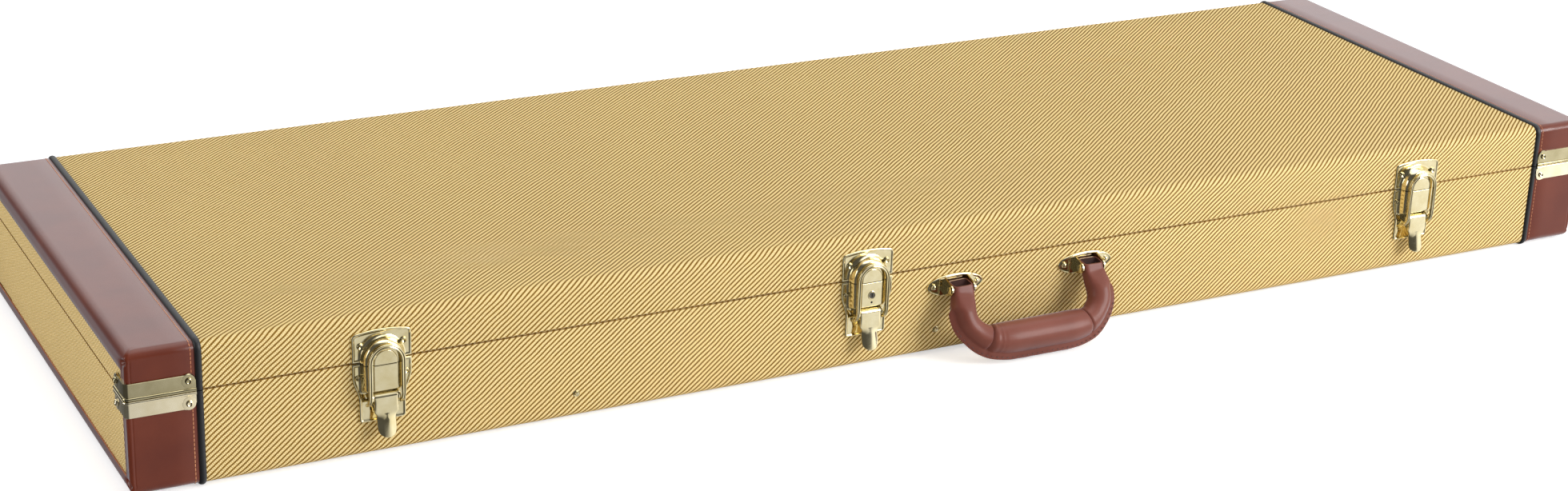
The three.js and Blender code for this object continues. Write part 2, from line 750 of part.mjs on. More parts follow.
// The leather handle, drawn hanging straight down from its pins: X along the case, Y up, Z out.
// Its section is an oval with a sewn seam that stands proud on the outer side.
function handle() {
  const half_span = handle_pin_spacing / 2;
  // Each row is a share of the half span across, of the reach down and of the bulge at the leg
  const path_shares = [
    [1, 0.05, 0],
    [1, 0.24, 0.5],
    [1, 0.46, 1],
    [0.97, 0.68, 0.6],
    [0.82, 0.91, 0],
    [0.56, 0.99, 0],
    [0, 1, 0],
    [-0.56, 0.99, 0],
    [-0.82, 0.91, 0],
    [-0.97, 0.68, -0.6],
    [-1, 0.46, -1],
    [-1, 0.24, -0.5],
    [-1, 0.05, 0],
  ];
  const path = new THREE.CatmullRomCurve3(path_shares.map(([across, down, bulge]) => {
    return new THREE.Vector3(half_span * across + handle_bulge * bulge, -handle_reach * down, 0);
  }));
  const leg_share = 0.25;
  const seam_start_share = 0.1;
  const grip_start_share = 0.35;
  const grip_full_share = 0.75;
  const rings = [];
  for (let step = 0; step <= 2 * handle_steps; step++) {
    const share = step / (2 * handle_steps);
    const at = path.getPointAt(share);
    const along = path.getTangentAt(share);
    const outward = new THREE.Vector3(-along.y, along.x, 0);
    const near_end = Math.min(share, 1 - share) * 2;
    const leg = Math.min(near_end / leg_share, 1);
    const grip = THREE.MathUtils.smoothstep(near_end, grip_start_share, grip_full_share);
    const wide = THREE.MathUtils.lerp(
      THREE.MathUtils.lerp(handle_end_half_width, handle_leg_half_width, leg),
      handle_grip_half_width,
      grip,
    );
    const deep = THREE.MathUtils.lerp(
      THREE.MathUtils.lerp(handle_end_radius, handle_leg_half_depth, leg),
      handle_grip_half_depth,
      grip,
    );
    const seam = THREE.MathUtils.smoothstep(near_end, seam_start_share, leg_share);
    rings.push(handleSection(at, outward, wide, deep, handle_seam_proud * seam));
  }
  const ends = [-1, 1].map((hand) => {
    const centre = hand * half_span;
    const start = centre - handle_end_half_width;
    return crossRod(handle_end_radius, start, start + 2 * handle_end_half_width, 0, 0);
  });
  const bore_half = half_span + handle_end_half_width + overrun;
  const bore = crossRod(handle_pin_radius + seat_gap, -bore_half, bore_half, 0, 0);
  return joined([loft(rings), ...ends]).subtract(bore);
}

// One ring of the handle: an oval round a point, with a narrow ridge on its outer side
function handleSection(at, outward, wide, deep, ridge) {
  const ring = [];
  const place = (across, out) => {
    ring.push(at.clone().addScaledVector(outward, across).add(new THREE.Vector3(0, 0, out)));
  };
  const ridge_angle = Math.asin(handle_seam_half / deep);
  const foot = wide * Math.cos(ridge_angle);
  place(foot + ridge, -handle_seam_half);
  place(foot + ridge, handle_seam_half);
  for (let step = 0; step <= round_sides - 2; step++) {
    const angle = ridge_angle + step / (round_sides - 2) * 2 * (Math.PI - ridge_angle);
    place(wide * Math.cos(angle), deep * Math.sin(angle));
  }
  return ring;
}

// One leaf of a rear hinge. The base's leaf has the odd knuckles, the lid's leaf the even ones.
function hingeLeaf(side) {
  const up = side === 'lid' ? 1 : -1;
  const far = seam_height + up * hinge_leaf_height;
  const near = seam_height + up * (knuckle_radius - hinge_sheet);
  const reach = hinge_width / 2;
  const plate = box([-reach, Math.min(near, far), 0], [reach, Math.max(near, far), hinge_sheet]);
  const pitch = hinge_width / knuckle_count;
  const own = side === 'base' ? 0 : 1;
  let leaf = plate;
  for (let i = 0; i < knuckle_count; i++) {
    const start = -reach + i * pitch;
    if (i % 2 === own) {
      leaf = leaf.add(crossRod(
        knuckle_radius, start + seat_gap / 2, start + pitch - seat_gap / 2, knuckle_place, seam_height,
      ));
    } else {
      leaf = leaf.subtract(crossRod(
        knuckle_radius + seat_gap, start - seat_gap / 2, start + pitch + seat_gap / 2,
        knuckle_place, seam_height,
      ));
    }
  }
  const screws = [-1, 1].map((hand) => {
    return rivet(hand * hinge_screw_spread, seam_height + up * hinge_screw_rise, hinge_sheet);
  });
  const bore_half = reach + overrun;
  return joined([leaf, ...screws]).subtract(
    rodHole(hinge_pin_radius, bore_half, knuckle_place, seam_height),
  );
}

function hingePin() {
  const reach = hinge_width / 2;
  return crossRod(hinge_pin_radius, -reach, reach, knuckle_place, seam_height, small_sides);
}

function foot() {
  const dish = foot_height / 4;
  return turned([
    [0, 0],
    [foot_radius, 0],
    [foot_radius, foot_height / 2],
    [foot_face_radius, foot_height],
    [foot_face_radius / 2, foot_height],
    [foot_face_radius / 2, foot_height - dish],
    [0, foot_height - dish],
  ], 0, 0, 0, round_sides);
}

function partitionStud() {
  return turned([
    [0, 0],
    [stud_washer_radius, 0],
    [stud_washer_radius, stud_washer_height],
    [stud_head_radius, stud_washer_height],
    [stud_head_radius / 2, stud_washer_height + stud_head_height],
    [0, stud_washer_height + stud_head_height],
  ], 0, 0, 0);
}

// A bay with rounded upright corners, cut down to the lining's floor
function bay(x0, x1, half_width) {
  const shape = new THREE.Shape();
  const r = Math.min(bay_corner, half_width / 2);
  shape.moveTo(x0 + r, -half_width);
  shape.lineTo(x1 - r, -half_width);
  shape.absarc(x1 - r, -half_width + r, r, -Math.PI / 2, 0, false);
  shape.absarc(x1 - r, half_width - r, r, 0, Math.PI / 2, false);
  shape.absarc(x0 + r, half_width - r, r, Math.PI / 2, Math.PI, false);
  shape.absarc(x0 + r, -half_width + r, r, Math.PI, 1.5 * Math.PI, false);
  const floor = panel_wall + lining_floor;
  return solidOf(extruded(shape, seam_height, 0, quarter_steps).translate(0, 0, floor));
}

function trayEnds() {
  return [stud_places.left - tray_wall / 2, stud_places.right + tray_wall / 2];
}

// Padded base lining with bays for the body, the neck and the headstock, and room for the tray
function baseLining() {
  const x = inner_x - seat_gap;
  const y = inner_y - seat_gap;
  const [tray_start, tray_end] = trayEnds();
  const top = seam_height - lining_top_drop;
  const bay_x = x - lining_wall;
  return box([-x, -y, panel_wall], [x, y, top])
    .subtract(bay(body_bay_start, bay_x, y - lining_wall))
    .subtract(bay(head_bay_end - bay_corner, body_bay_start + 2 * bay_corner, neck_half_width))
    .subtract(bay(-bay_x, head_bay_end, head_half_width))
    .subtract(box(
      [tray_start - seat_gap, -inner_y - overrun, panel_wall - overrun],
      [tray_end + seat_gap, -inner_y + tray_reach + seat_gap, seam_height],
    ));
}

// Open accessory tray against the front wall, with a divider
function accessoryTray() {
  const [start, end] = trayEnds();
  const front = -inner_y;
  const back = front + tray_reach;
  const floor = panel_wall + tray_floor;
  const top = seam_height - lining_top_drop;
  const split = start + (end - start) * tray_divider_share;
  const pocket = (from, to) => box(
    [from, front + tray_long_wall, floor],
    [to, back - tray_long_wall, seam_height],
  );
  return box([start, front, panel_wall], [end, back, top])
    .subtract(pocket(start + tray_wall, split - tray_long_wall / 2))
    .subtract(pocket(split + tray_long_wall / 2, end - tray_wall));
}

// Notched block that holds the neck
function neckCradle() {
  const floor = panel_wall + lining_floor;
  const reach = neck_half_width - seat_gap;
  const top = floor + cradle_height;
  const notch_centre = top - cradle_notch_depth + cradle_notch_radius;
  const block = box([-cradle_length / 2, -reach, floor], [cradle_length / 2, reach, top]);
  const round = crossRod(
    cradle_notch_radius, -cradle_length, cradle_length, 0, notch_centre, 2 * round_sides,
  );
  return block.subtract(round.rotate([90, 0, 0]));
}

// Padded lid lining: a pad under the panel and strips along the walls
function lidLining() {
  const x = inner_x - seat_gap;
  const y = inner_y - seat_gap;
  const bottom = seam_height + lining_top_drop;
  const top = case_height - panel_wall;
  return box([-x, -y, bottom], [x, y, top]).subtract(box(
    [-x + lining_wall, -y + lining_wall, bottom - overrun],
    [x - lining_wall, y - lining_wall, top - lid_lining_top],
  ));
}

const bass_case = new THREE.Group();
const box_group = new THREE.Group();
box_group.position.z = piping_proud;
bass_case.add(box_group);

function place(name, solid, finish, parent = box_group) {
  const mesh = new THREE.Mesh(geometryOf(solid), finishes[finish]);
  mesh.name = name;
  parent.add(mesh);
  return mesh;
}

// Fittings are turned to face out of the front, or out of the rear with half a turn more
function fitting(name, solid, finish, x, z, rear = false) {
  const mesh = place(name, solid.rotate([90, 0, 0]), finish);
  mesh.position.set(x, rear ? -front_face : front_face, z);
  mesh.rotation.z = rear ? Math.PI : 0;
  return mesh;
}

for (const side of ['base', 'lid']) {
  place(side + '_shell', shell(side), 'cloth');
  for (const [end, hand] of [['left', -1], ['right', 1]]) {
    const wrap = place(side + '_wrap_' + end, endWrap(side), 'leathercloth');
    wrap.rotation.z = hand > 0 ? 0 : Math.PI;
    place(side + '_piping_' + end, piping(side), 'piping').position.x = hand * piping_place;
    for (const [face, turn] of [['front', -1], ['rear', 1]]) {
      const name = side + '_clamp_' + face + '_' + end;
      const clamp = place(name, cornerClamp(side, hand * turn), 'brass');
      clamp.position.set(hand * end_face, turn * case_depth / 2, 0);
      clamp.rotation.z = turn > 0 ? Math.PI : 0;
    }
    const foot_level = side === 'base' ? foot_margin : case_height - foot_margin;
    fitting(side + '_foot_' + end, foot(), 'rubber', hand * foot_spread, foot_level, true);
  }
}

for (const [which, x] of Object.entries(latch_places)) {
  fitting('latch_keeper_' + which, latchKeeper(), 'brass', x, 0);
  fitting('latch_plate_' + which, latchPlate(which === 'middle'), 'brass', x, 0);
  fitting('latch_lever_' + which, latchLever(), 'brass', x, 0);
  fitting('lever_pin_' + which, leverPin(), 'brass', x, 0);
  fitting('latch_loop_' + which, latchLoop(), 'brass', x, 0);
}
fitting('lock_cylinder', lockCylinder(), 'brass', latch_places.middle, 0);

for (const [which, hand] of [['left', -1], ['right', 1]]) {
  const x = handle_place + hand * handle_pin_spacing / 2;
  fitting('handle_bracket_' + which, handleBracket(), 'brass', x, handle_pin_height);
  fitting('handle_pin_' + which, handlePin(), 'brass', x, handle_pin_height);
}
const handle_mesh = place('handle', handle().rotate([90 - handle_tilt_degrees, 0, 0]), 'handle');
handle_mesh.position.set(handle_place, front_face - handle_pin_out, handle_pin_height);

for (const [which, x] of Object.entries(hinge_places)) {
  fitting('hinge_base_leaf_' + which, hingeLeaf('base'), 'brass', x, 0, true);
  fitting('hinge_lid_leaf_' + which, hingeLeaf('lid'), 'brass', x, 0, true);
  fitting('hinge_pin_' + which, hingePin(), 'brass', x, 0, true);
}

for (const [which, x] of Object.entries(stud_places)) {
  fitting('partition_stud_' + which, partitionStud(), 'brass', x, stud_height);
}

place('base_lining', baseLining(), 'plush');
place('lid_lining', lidLining(), 'plush');
place('accessory_tray', accessoryTray(), 'plush');
place('neck_cradle', neckCradle(), 'plush').position.x = cradle_place;

export default bass_case;
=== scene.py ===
"""A tweed-covered hard case for a bass guitar, dressed around the frame of its working parts.
Shapes are written in millimetres in the frame's own axes: X along the case, Y from the front
(the handle's side) to the rear, Z up. They become metres when a piece's mesh is made."""

import bmesh
import bpy
import numpy as np
from mathutils import Euler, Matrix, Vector


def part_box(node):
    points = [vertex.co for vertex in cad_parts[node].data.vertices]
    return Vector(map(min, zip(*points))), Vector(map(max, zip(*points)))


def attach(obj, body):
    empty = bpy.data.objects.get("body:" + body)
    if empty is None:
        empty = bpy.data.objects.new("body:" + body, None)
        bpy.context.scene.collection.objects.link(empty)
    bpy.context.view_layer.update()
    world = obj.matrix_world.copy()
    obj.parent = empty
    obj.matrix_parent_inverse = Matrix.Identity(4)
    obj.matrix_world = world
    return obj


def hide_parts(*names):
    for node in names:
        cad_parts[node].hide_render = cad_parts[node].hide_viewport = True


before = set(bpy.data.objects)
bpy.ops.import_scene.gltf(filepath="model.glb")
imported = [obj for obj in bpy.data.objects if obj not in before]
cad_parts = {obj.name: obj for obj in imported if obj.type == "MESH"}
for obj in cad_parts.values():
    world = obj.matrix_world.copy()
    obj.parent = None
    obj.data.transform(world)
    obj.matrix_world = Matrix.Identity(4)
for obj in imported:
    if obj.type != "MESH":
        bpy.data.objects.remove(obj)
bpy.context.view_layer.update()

MM = 0.001
PI = np.pi
SIDES = ("base", "lid")
ENDS = {"left": -1, "right": 1}
LATCHES = ("left", "middle", "right")


def span(node):
    """Lowest and highest corner of a node of the frame, in millimetres."""
    return np.array(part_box(node)) / MM


# The box, as the frame has it
BOTTOM = span("base_shell")[0, 2]
BASE_TOP = span("base_shell")[1, 2]
LID_BOTTOM = span("lid_shell")[0, 2]
TOP = span("lid_shell")[1, 2]
SEAM = (BASE_TOP + LID_BOTTOM) / 2
HALF_X = span("base_wrap_right")[1, 0]
HALF_Y = span("base_shell")[1, 1]
FRONT = -HALF_Y
PIPING_X = span("base_piping_right").mean(axis=0)[0]

# Sizes of the covering
EDGE_RADIUS = 6.0
UPRIGHT_RADIUS = 2.2
SIDE_WALL = 8.0
PANEL_WALL = 5.0
RIM_ROLL = 0.8
CLOTH_PINCH = 8.0
WRAP_PINCH = 4.8
WRAP_THICKNESS = 1.0
WRAP_TUCK = 1.05
WRAP_BEVEL = 0.3
WRAP_WINDOW_SIDE = 10.0
WRAP_WINDOW_TOP = 15.0
WRAP_WINDOW_BOTTOM = 11.0
PIPING_RADIUS = 1.8
PIPING_SINK = 0.2
PIPING_WIDE_SHARE = 1.35
STITCH_PITCH = 3.0
STITCH_LENGTH = 2.8
STITCH_RADIUS = 0.3
STITCH_FROM_PIPING = 4.9

# Corner clamps
CLAMP_SHEET = 1.2
CLAMP_HEIGHT = 11.9
CLAMP_BEAD = 2.4
CLAMP_BEAD_PROUD = 1.0
CLAMP_FRONT_REACH = 45.1
CLAMP_END_REACH = 23.0
CLAMP_LOBE = 4.8
CLAMP_BEND = 1.7
CLAMP_RIVET_RISE = 7.8
RIVET_RADIUS = 2.3
RIVET_HEIGHT = 1.5

# A flat end has a narrow border of its own, so that its shading stays off its edge
CAP_BORDER = 0.12
# A sheet's edge turns by more than this many degrees
SHEET_CORNER = 55


def linear(code):
    """A hex colour as it is seen, turned to the linear values that shaders take: a straight line
    near black, and a power of 2.4 above it."""
    seen = np.array([int(code[i:i + 2], 16) for i in (0, 2, 4)]) / 255
    value = np.where(seen <= 0.04045, seen / 12.92, ((seen + 0.055) / 1.055) ** 2.4)
    return (*value, 1.0)


def add_node(tree, kind, settings=None, inputs=None, stops=()):
    """A node with its settings. An input takes a value, or an output socket to link from. Stops
    are a colour ramp's, each a place from 0 to 1 and a hex colour."""
    node = tree.nodes.new(kind)
    for name, value in (settings or {}).items():
        setattr(node, name, value)
    for name, value in (inputs or {}).items():
        if isinstance(value, bpy.types.NodeSocket):
            tree.links.new(value, node.inputs[name])
        else:
            node.inputs[name].default_value = value
    for i, (place, colour) in enumerate(stops):
        ramp = node.color_ramp.elements
        stop = ramp[i] if i < len(ramp) else ramp.new(place)
        stop.position = place
        stop.color = linear(colour)
    return node


def new_material(name):
    """An empty material, its node tree, and its output node."""
    material = bpy.data.materials.new(name)
    material.use_nodes = True
    tree = material.node_tree
    tree.nodes.clear()
    return material, tree, add_node(tree, "ShaderNodeOutputMaterial")


def finish_material(tree, output, shader):
    """Links a shader to its material's output."""
    tree.links.new(shader.outputs[0], output.inputs["Surface"])


def tweed_cloth():
    """Woven tweed: light thread over brown in a steep twill, glued down and sealed, so it has a
    dry, dull, ribbed surface. The waves are sines, in cycles per millimetre of cloth: the ribs
    stand 2.9 mm apart, and two finer waves of 1.2 mm cross them and bead the thread. Slow drift
    and short slubs push the waves out of step, as in cloth that was stretched by hand."""
    material, tree, output = new_material("woven_tweed")
    rib_wave, bead_wave, cross_wave = (0.220, -0.262, 0), (0.788, 0.271, 0), (0.354, 0.794, 0)
    drift_wave, slub_wave = 0.05, 0.9
    drift_turns = 3.0
    uv = add_node(tree, "ShaderNodeUVMap", {"uv_map": "cloth"}).outputs[0]
    scaled = add_node(tree, "ShaderNodeMapping", inputs={"Vector": uv, "Scale": (1000, 1000, 1000)})
    place = scaled.outputs[0]
    drift = add_node(tree, "ShaderNodeTexNoise", inputs={
        "Vector": place, "Scale": drift_wave, "Detail": 1})
    slub = add_node(tree, "ShaderNodeTexNoise", inputs={
        "Vector": place, "Scale": slub_wave, "Detail": 2})
    wander = add_node(tree, "ShaderNodeMath", {"operation": "MULTIPLY_ADD"},
                      {0: drift.outputs["Fac"], 1: drift_turns, 2: slub.outputs["Fac"]})
    waves = []
    for wave, share in ((rib_wave, 1.0), (bead_wave, 0.6), (cross_wave, 0.6)):
        turns = add_node(tree, "ShaderNodeVectorMath", {"operation": "DOT_PRODUCT"},
                         {0: place, 1: tuple(2 * PI * k for k in wave)})
        phase = add_node(tree, "ShaderNodeMath", {"operation": "MULTIPLY_ADD"},
                         {0: wander.outputs[0], 1: share, 2: turns.outputs["Value"]})
        waves.append(add_node(tree, "ShaderNodeMath", {"operation": "SINE"}, {0: phase.outputs[0]}))
    band = add_node(tree, "ShaderNodeMapRange", {"interpolation_type": "SMOOTHSTEP"}, {
        "Value": waves[0].outputs[0], "From Min": -0.75, "From Max": 0.1})
    beads = add_node(tree, "ShaderNodeMath", {"operation": "ADD"},
                     {0: waves[1].outputs[0], 1: waves[2].outputs[0]})
    beading = add_node(tree, "ShaderNodeMapRange", inputs={
        "Value": beads.outputs[0], "From Min": -1.6, "From Max": 1.6, "To Max": 0.75})
    lively = add_node(tree, "ShaderNodeMath", {"operation": "MULTIPLY_ADD"},
                      {0: slub.outputs["Fac"], 1: 0.35, 2: beading.outputs[0]})
    light = add_node(tree, "ShaderNodeValToRGB", inputs={"Fac": lively.outputs[0]},
                     stops=((0.15, "D3AD60"), (0.5, "F3D692"), (0.9, "FFF0C2")))
    dark = add_node(tree, "ShaderNodeValToRGB", inputs={"Fac": slub.outputs["Fac"]},
                    stops=((0.3, "6E4E16"), (0.7, "967028")))
    mixed = add_node(tree, "ShaderNodeMix", {"data_type": "RGBA"}, {
        "Factor": band.outputs[0], 6: dark.outputs["Color"], 7: light.outputs["Color"]})
    height = add_node(tree, "ShaderNodeMath", {"operation": "MULTIPLY"},
                      {0: band.outputs[0], 1: lively.outputs[0]})
    bump = add_node(tree, "ShaderNodeBump", inputs={
        "Strength": 0.8, "Distance": 0.0004, "Height": height.outputs[0]})
    shader = add_node(tree, "ShaderNodeBsdfPrincipled", inputs={
        "Base Color": mixed.outputs[2], "Roughness": 0.95, "Specular IOR Level": 0.06,
        "Normal": bump.outputs[0]})
    finish_material(tree, output, shader)
    return material


def grained_leathercloth(name, deep, light, roughness, coat, grain_mm=0.5):
    """Vinyl-coated leathercloth: red-brown, with a fine, shallow pressed grain under a thin top
    coat. Faced squarely it is deep and plain; at a low angle it mirrors a pale room softly."""
    material, tree, output = new_material(name)
    mottle_mm = 38.46
    place = add_node(tree, "ShaderNodeTexCoord").outputs["Object"]
    pores = add_node(tree, "ShaderNodeTexVoronoi", {"feature": "DISTANCE_TO_EDGE"},
                     {"Vector": place, "Scale": 1 / (grain_mm * MM)})
    pits = add_node(tree, "ShaderNodeMapRange", inputs={
        "Value": pores.outputs["Distance"], "From Max": 0.18})
    mottle = add_node(tree, "ShaderNodeTexNoise", inputs={
        "Vector": place, "Scale": 1 / (mottle_mm * MM), "Detail": 5})
    tone = add_node(tree, "ShaderNodeValToRGB", inputs={"Fac": mottle.outputs["Fac"]},
                    stops=((0.35, deep), (0.68, light)))
    bump = add_node(tree, "ShaderNodeBump", inputs={
        "Strength": 0.16, "Distance": 0.00006, "Height": pits.outputs[0]})
    shader = add_node(tree, "ShaderNodeBsdfPrincipled", inputs={
        "Base Color": tone.outputs["Color"], "Roughness": roughness, "Specular IOR Level": 0.22,
        "Coat Weight": coat, "Coat Roughness": 0.2, "Coat IOR": 1.3,
        "Sheen Weight": 0.6, "Sheen Roughness": 0.25, "Sheen Tint": linear("D3E3F6"),
        "Normal": bump.outputs[0]})
    finish_material(tree, output, shader)
    return material


def mottled(name, deep, light, roughness, grain_mm, bump_mm, metallic=0.0, sheen=0.0):
    """A surface whose colour drifts between two tones, with a bump of the same grain."""
    material, tree, output = new_material(name)
    cloud_mm = 33.33
    place = add_node(tree, "ShaderNodeTexCoord").outputs["Object"]
    grain = add_node(tree, "ShaderNodeTexNoise", inputs={
        "Vector": place, "Scale": 1 / (grain_mm * MM), "Detail": 4})
    cloud = add_node(tree, "ShaderNodeTexNoise", inputs={
        "Vector": place, "Scale": 1 / (cloud_mm * MM), "Detail": 3})
    blend = add_node(tree, "ShaderNodeMath", {"operation": "MULTIPLY_ADD"},
                     {0: grain.outputs["Fac"], 1: 0.5, 2: cloud.outputs["Fac"]})
    colour = add_node(tree, "ShaderNodeValToRGB", inputs={"Fac": blend.outputs[0]},
                      stops=((0.55, deep), (0.95, light)))
    bump = add_node(tree, "ShaderNodeBump", inputs={
        "Strength": 0.4, "Distance": bump_mm * MM, "Height": grain.outputs["Fac"]})
    shader = add_node(tree, "ShaderNodeBsdfPrincipled", inputs={
        "Base Color": colour.outputs["Color"], "Roughness": roughness, "Metallic": metallic,
        "Sheen Weight": sheen, "Sheen Roughness": 0.5, "Normal": bump.outputs[0]})
    finish_material(tree, output, shader)
    return material


def brass_plate(name, deep, light):
    """Thin brass plating over pressed and polished steel: pale gold, mirror-like, with faint
    polishing haze and a little tarnish that drifts over the sheet."""
    material, tree, output = new_material(name)
    haze_mm, scuff_mm = 11.111, 1.1111
    place = add_node(tree, "ShaderNodeTexCoord").outputs["Object"]
    haze = add_node(tree, "ShaderNodeTexNoise", inputs={
        "Vector": place, "Scale": 1 / (haze_mm * MM), "Detail": 4})
    scuff = add_node(tree, "ShaderNodeTexNoise", inputs={
        "Vector": place, "Scale": 1 / (scuff_mm * MM), "Detail": 2})
    colour = add_node(tree, "ShaderNodeValToRGB", inputs={"Fac": haze.outputs["Fac"]},
                      stops=((0.3, deep), (0.7, light)))
    gloss = add_node(tree, "ShaderNodeMapRange", inputs={
        "Value": haze.outputs["Fac"], "From Min": 0.3, "From Max": 0.7,
        "To Min": 0.07, "To Max": 0.15})
    bump = add_node(tree, "ShaderNodeBump", inputs={
        "Strength": 0.10, "Distance": 0.00005, "Height": scuff.outputs["Fac"]})
    shader = add_node(tree, "ShaderNodeBsdfPrincipled", inputs={
        "Base Color": colour.outputs["Color"], "Metallic": 1.0, "Roughness": gloss.outputs[0],
        "Normal": bump.outputs[0]})
    finish_material(tree, output, shader)
    return material


MATERIALS = {
    "tweed": tweed_cloth(),
    "leathercloth": grained_leathercloth("pressed_leathercloth", "5D1F08", "6A2910", 0.4, 1.0),
    # Oiled cowhide, sewn over a core: a broader grain, and only a breath of top coat
    "handle_leather": grained_leathercloth("sewn_handle_leather", "6E3A2E", "7E483C", 0.45, 0.25, 0.8),
    # The rough inner side of the handle's strap, seen in its fold, coloured near black as painted
    # shade: dark and dull
    "strap_fold_shade": mottled("painted_shade_in_strap_fold", "2A1410", "40211A", 0.9, 0.8, 0.05),
    # The cut edge of the leathercloth, where its pale backing shows
    "cut_edge": mottled("cut_leathercloth_edge", "9A5A3C", "BC7C58", 0.7, 0.5, 0.02),
    # The cloth turned in over the rim, darkened as painted shade where lid meets base
    "seam_shade_cloth": mottled("tweed_rim_painted_shade", "6E4A10", "8E651C", 0.8, 0.6, 0.05),
    # Black vinyl over a cord: satin, nearly smooth
    "piping": mottled("black_vinyl_piping", "121315", "1B1C1F", 0.5, 0.8, 0.02),
    "brass": brass_plate("brass_plating", "DACB9C", "E9DEB8"),
    # The same plating made paler, as painted light, for the base's corner clamps
    "brass_painted_light": brass_plate("brass_plating_painted_light", "F2E4BE", "FFF4D4"),
    # The same plating made darker, as painted shade, for the lid's corner clamps
    "brass_painted_shade": brass_plate("brass_plating_painted_shade", "AFA47E", "C4BA96"),
    # Waxed polyester thread, with a slight lustre: tan on the wraps, brown on the handle
    "thread": mottled("waxed_tan_thread", "C0714A", "E09C6E", 0.5, 0.4, 0.03),
    "dark_thread": mottled("waxed_brown_thread", "3A1E1A", "5A342C", 0.5, 0.4, 0.03),
    # Crushed plush: deep red pile with a soft bright edge at low angles
    "plush": mottled("crushed_plush", "4A141C", "66202A", 0.95, 1.6, 0.4, sheen=0.3),
    # Moulded rubber: near black, dull, slightly rough
    "foot_rubber": mottled("moulded_rubber", "211D1B", "35302C", 0.7, 0.5, 0.03),
    # The unlit inside of a keyway or a slot
    "recess": mottled("keyway_shadow", "100D0A", "1C1814", 0.7, 0.5, 0.02, metallic=0.4),
    # The lock plug's face: worn, dark steel
    "lock_steel": mottled("worn_lock_steel", "4C4A46", "6E6A62", 0.35, 0.5, 0.01, metallic=1.0),
    # Zinc-plated steel screws and pins: grey and dull
    "steel": mottled("zinc_plated_steel", "8C8C86", "B8B6AC", 0.32, 0.7, 0.01, metallic=1.0),
}


def smoothstep(value, low, high):
    """0 up to low and 1 from high on; between them, three times the share's square less twice its
    cube."""
    share = np.clip((value - low) / (high - low), 0, 1)
    return share * share * (3 - 2 * share)


def unit(ways):
    """Directions brought to length one."""
    return ways / np.linalg.norm(ways, axis=-1, keepdims=True)


def squared(wave, share):
    """A cosine or sine raised to a share, with its sign kept, which squares up a round section."""
    return np.sign(wave) * np.abs(wave) ** share


def grid(points, closed=False):
    """Quads between the rows and columns of a grid of points. A closed grid's last column joins
    its first."""
    rows, columns = points.shape[:2]
    index = np.arange(rows * columns).reshape(rows, columns)
    if closed:
        index = np.hstack([index, index[:, :1]])
    quads = np.stack([index[:-1, :-1], index[:-1, 1:], index[1:, 1:], index[1:, :-1]], axis=-1)
    return points.reshape(-1, 3), quads.reshape(-1, 4)


def lifted(outline, height):
    """A flat outline at a height."""
    return np.column_stack([outline, np.full(len(outline), height)])


def moved(part, shift):
    """A part shifted along X, Y and Z."""
    return part[0] + np.asarray(shift, float), part[1]


def make_piece(name, parts, finish, body, replaced=(), slot=None, closed=True, sharp=40, looks=None):
    """One mesh object from several parts, each (points, faces), given in millimetres. Points that
    meet are merged, closed skins are turned outwards, and edges past the sharp angle stay sharp.
    looks gives each part's own finish where the piece has more than one."""
    points = np.concatenate([part[0] for part in parts]) * MM
    starts = np.cumsum([0] + [len(part[0]) for part in parts])
    faces = []
    finish_of_face = []
    finishes = list(dict.fromkeys(looks or [finish]))
    for i, (start, part) in enumerate(zip(starts, parts)):
        quads = np.asarray(part[1]) + start
        faces += quads.tolist()
        finish_of_face += [finishes.index(looks[i]) if looks else 0] * len(quads)
    mesh = bpy.data.meshes.new(name)
    mesh.from_pydata(points.tolist(), [], faces)
    mesh.polygons.foreach_set("material_index", finish_of_face)
    for finish_name in finishes:
        mesh.materials.append(MATERIALS[finish_name])
    work = bmesh.new()
    work.from_mesh(mesh)
    bmesh.ops.remove_doubles(work, verts=work.verts, dist=1e-6)
    if closed:
        rims = [edge for edge in work.edges if edge.is_boundary]
        caps = bmesh.ops.holes_fill(work, edges=rims, sides=0)["faces"]
        for cap in caps:
            beside = [face for face in cap.edges[0].link_faces if face is not cap]
            cap.material_index = beside[0].material_index
        bmesh.ops.inset_individual(work, faces=caps, thickness=CAP_BORDER * MM)
        bmesh.ops.recalc_face_normals(work, faces=work.faces)
    work.to_mesh(mesh)
    work.free()
    mesh.shade_smooth()
    mesh.set_sharp_from_angle(angle=np.radians(sharp))
    piece = bpy.data.objects.new(name, mesh)
    bpy.context.collection.objects.link(piece)
    if replaced:
        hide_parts(*replaced)
    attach(piece, body)
    return piece


def end_ring(x_breaks, y_breaks, corner_steps=6, fine=0):
    """Half way round the box in plan, from the front over the right end to the rear: places on the
    core rectangle, which lies an edge radius inside the box, and ways out of it. Round a corner the
    way out leans to the diagonal, so that the upright edge is tighter than the panel's edges. Fine
    steps may be added on the flats beside the upright edge."""
    core_x, core_y = HALF_X - EDGE_RADIUS, HALF_Y - EDGE_RADIUS
    turn = np.linspace(0, PI / 2, corner_steps + 1)[1:-1]
    front = np.stack([x_breaks, np.full(len(x_breaks), -core_y)], axis=1)
    side = np.stack([np.full(len(y_breaks), core_x), y_breaks], axis=1)
    round_share = UPRIGHT_RADIUS / EDGE_RADIUS
    slide = np.linspace(0, 1 - round_share, fine + 1)[1:]
    round_it = round_share * np.stack([np.sin(turn), -np.cos(turn)], axis=1)
    bend = np.concatenate([
        np.stack([slide, np.full(fine, -1.0)], axis=1),
        (1 - round_share) * np.array([1, -1]) + round_it,
        np.stack([np.full(fine, 1.0), -slide[::-1]], axis=1)])
    corner = np.tile([core_x, -core_y], (len(bend), 1))
    core = np.concatenate([front, corner, side, corner * [1, -1], front[::-1] * [1, -1]])
    out = np.concatenate([
        np.tile([0, -1], (len(x_breaks), 1)),
        bend,
        np.tile([1, 0], (len(y_breaks), 1)),
        bend[::-1] * [1, -1],
        np.tile([0, 1], (len(x_breaks), 1)),
    ])
    return core, out


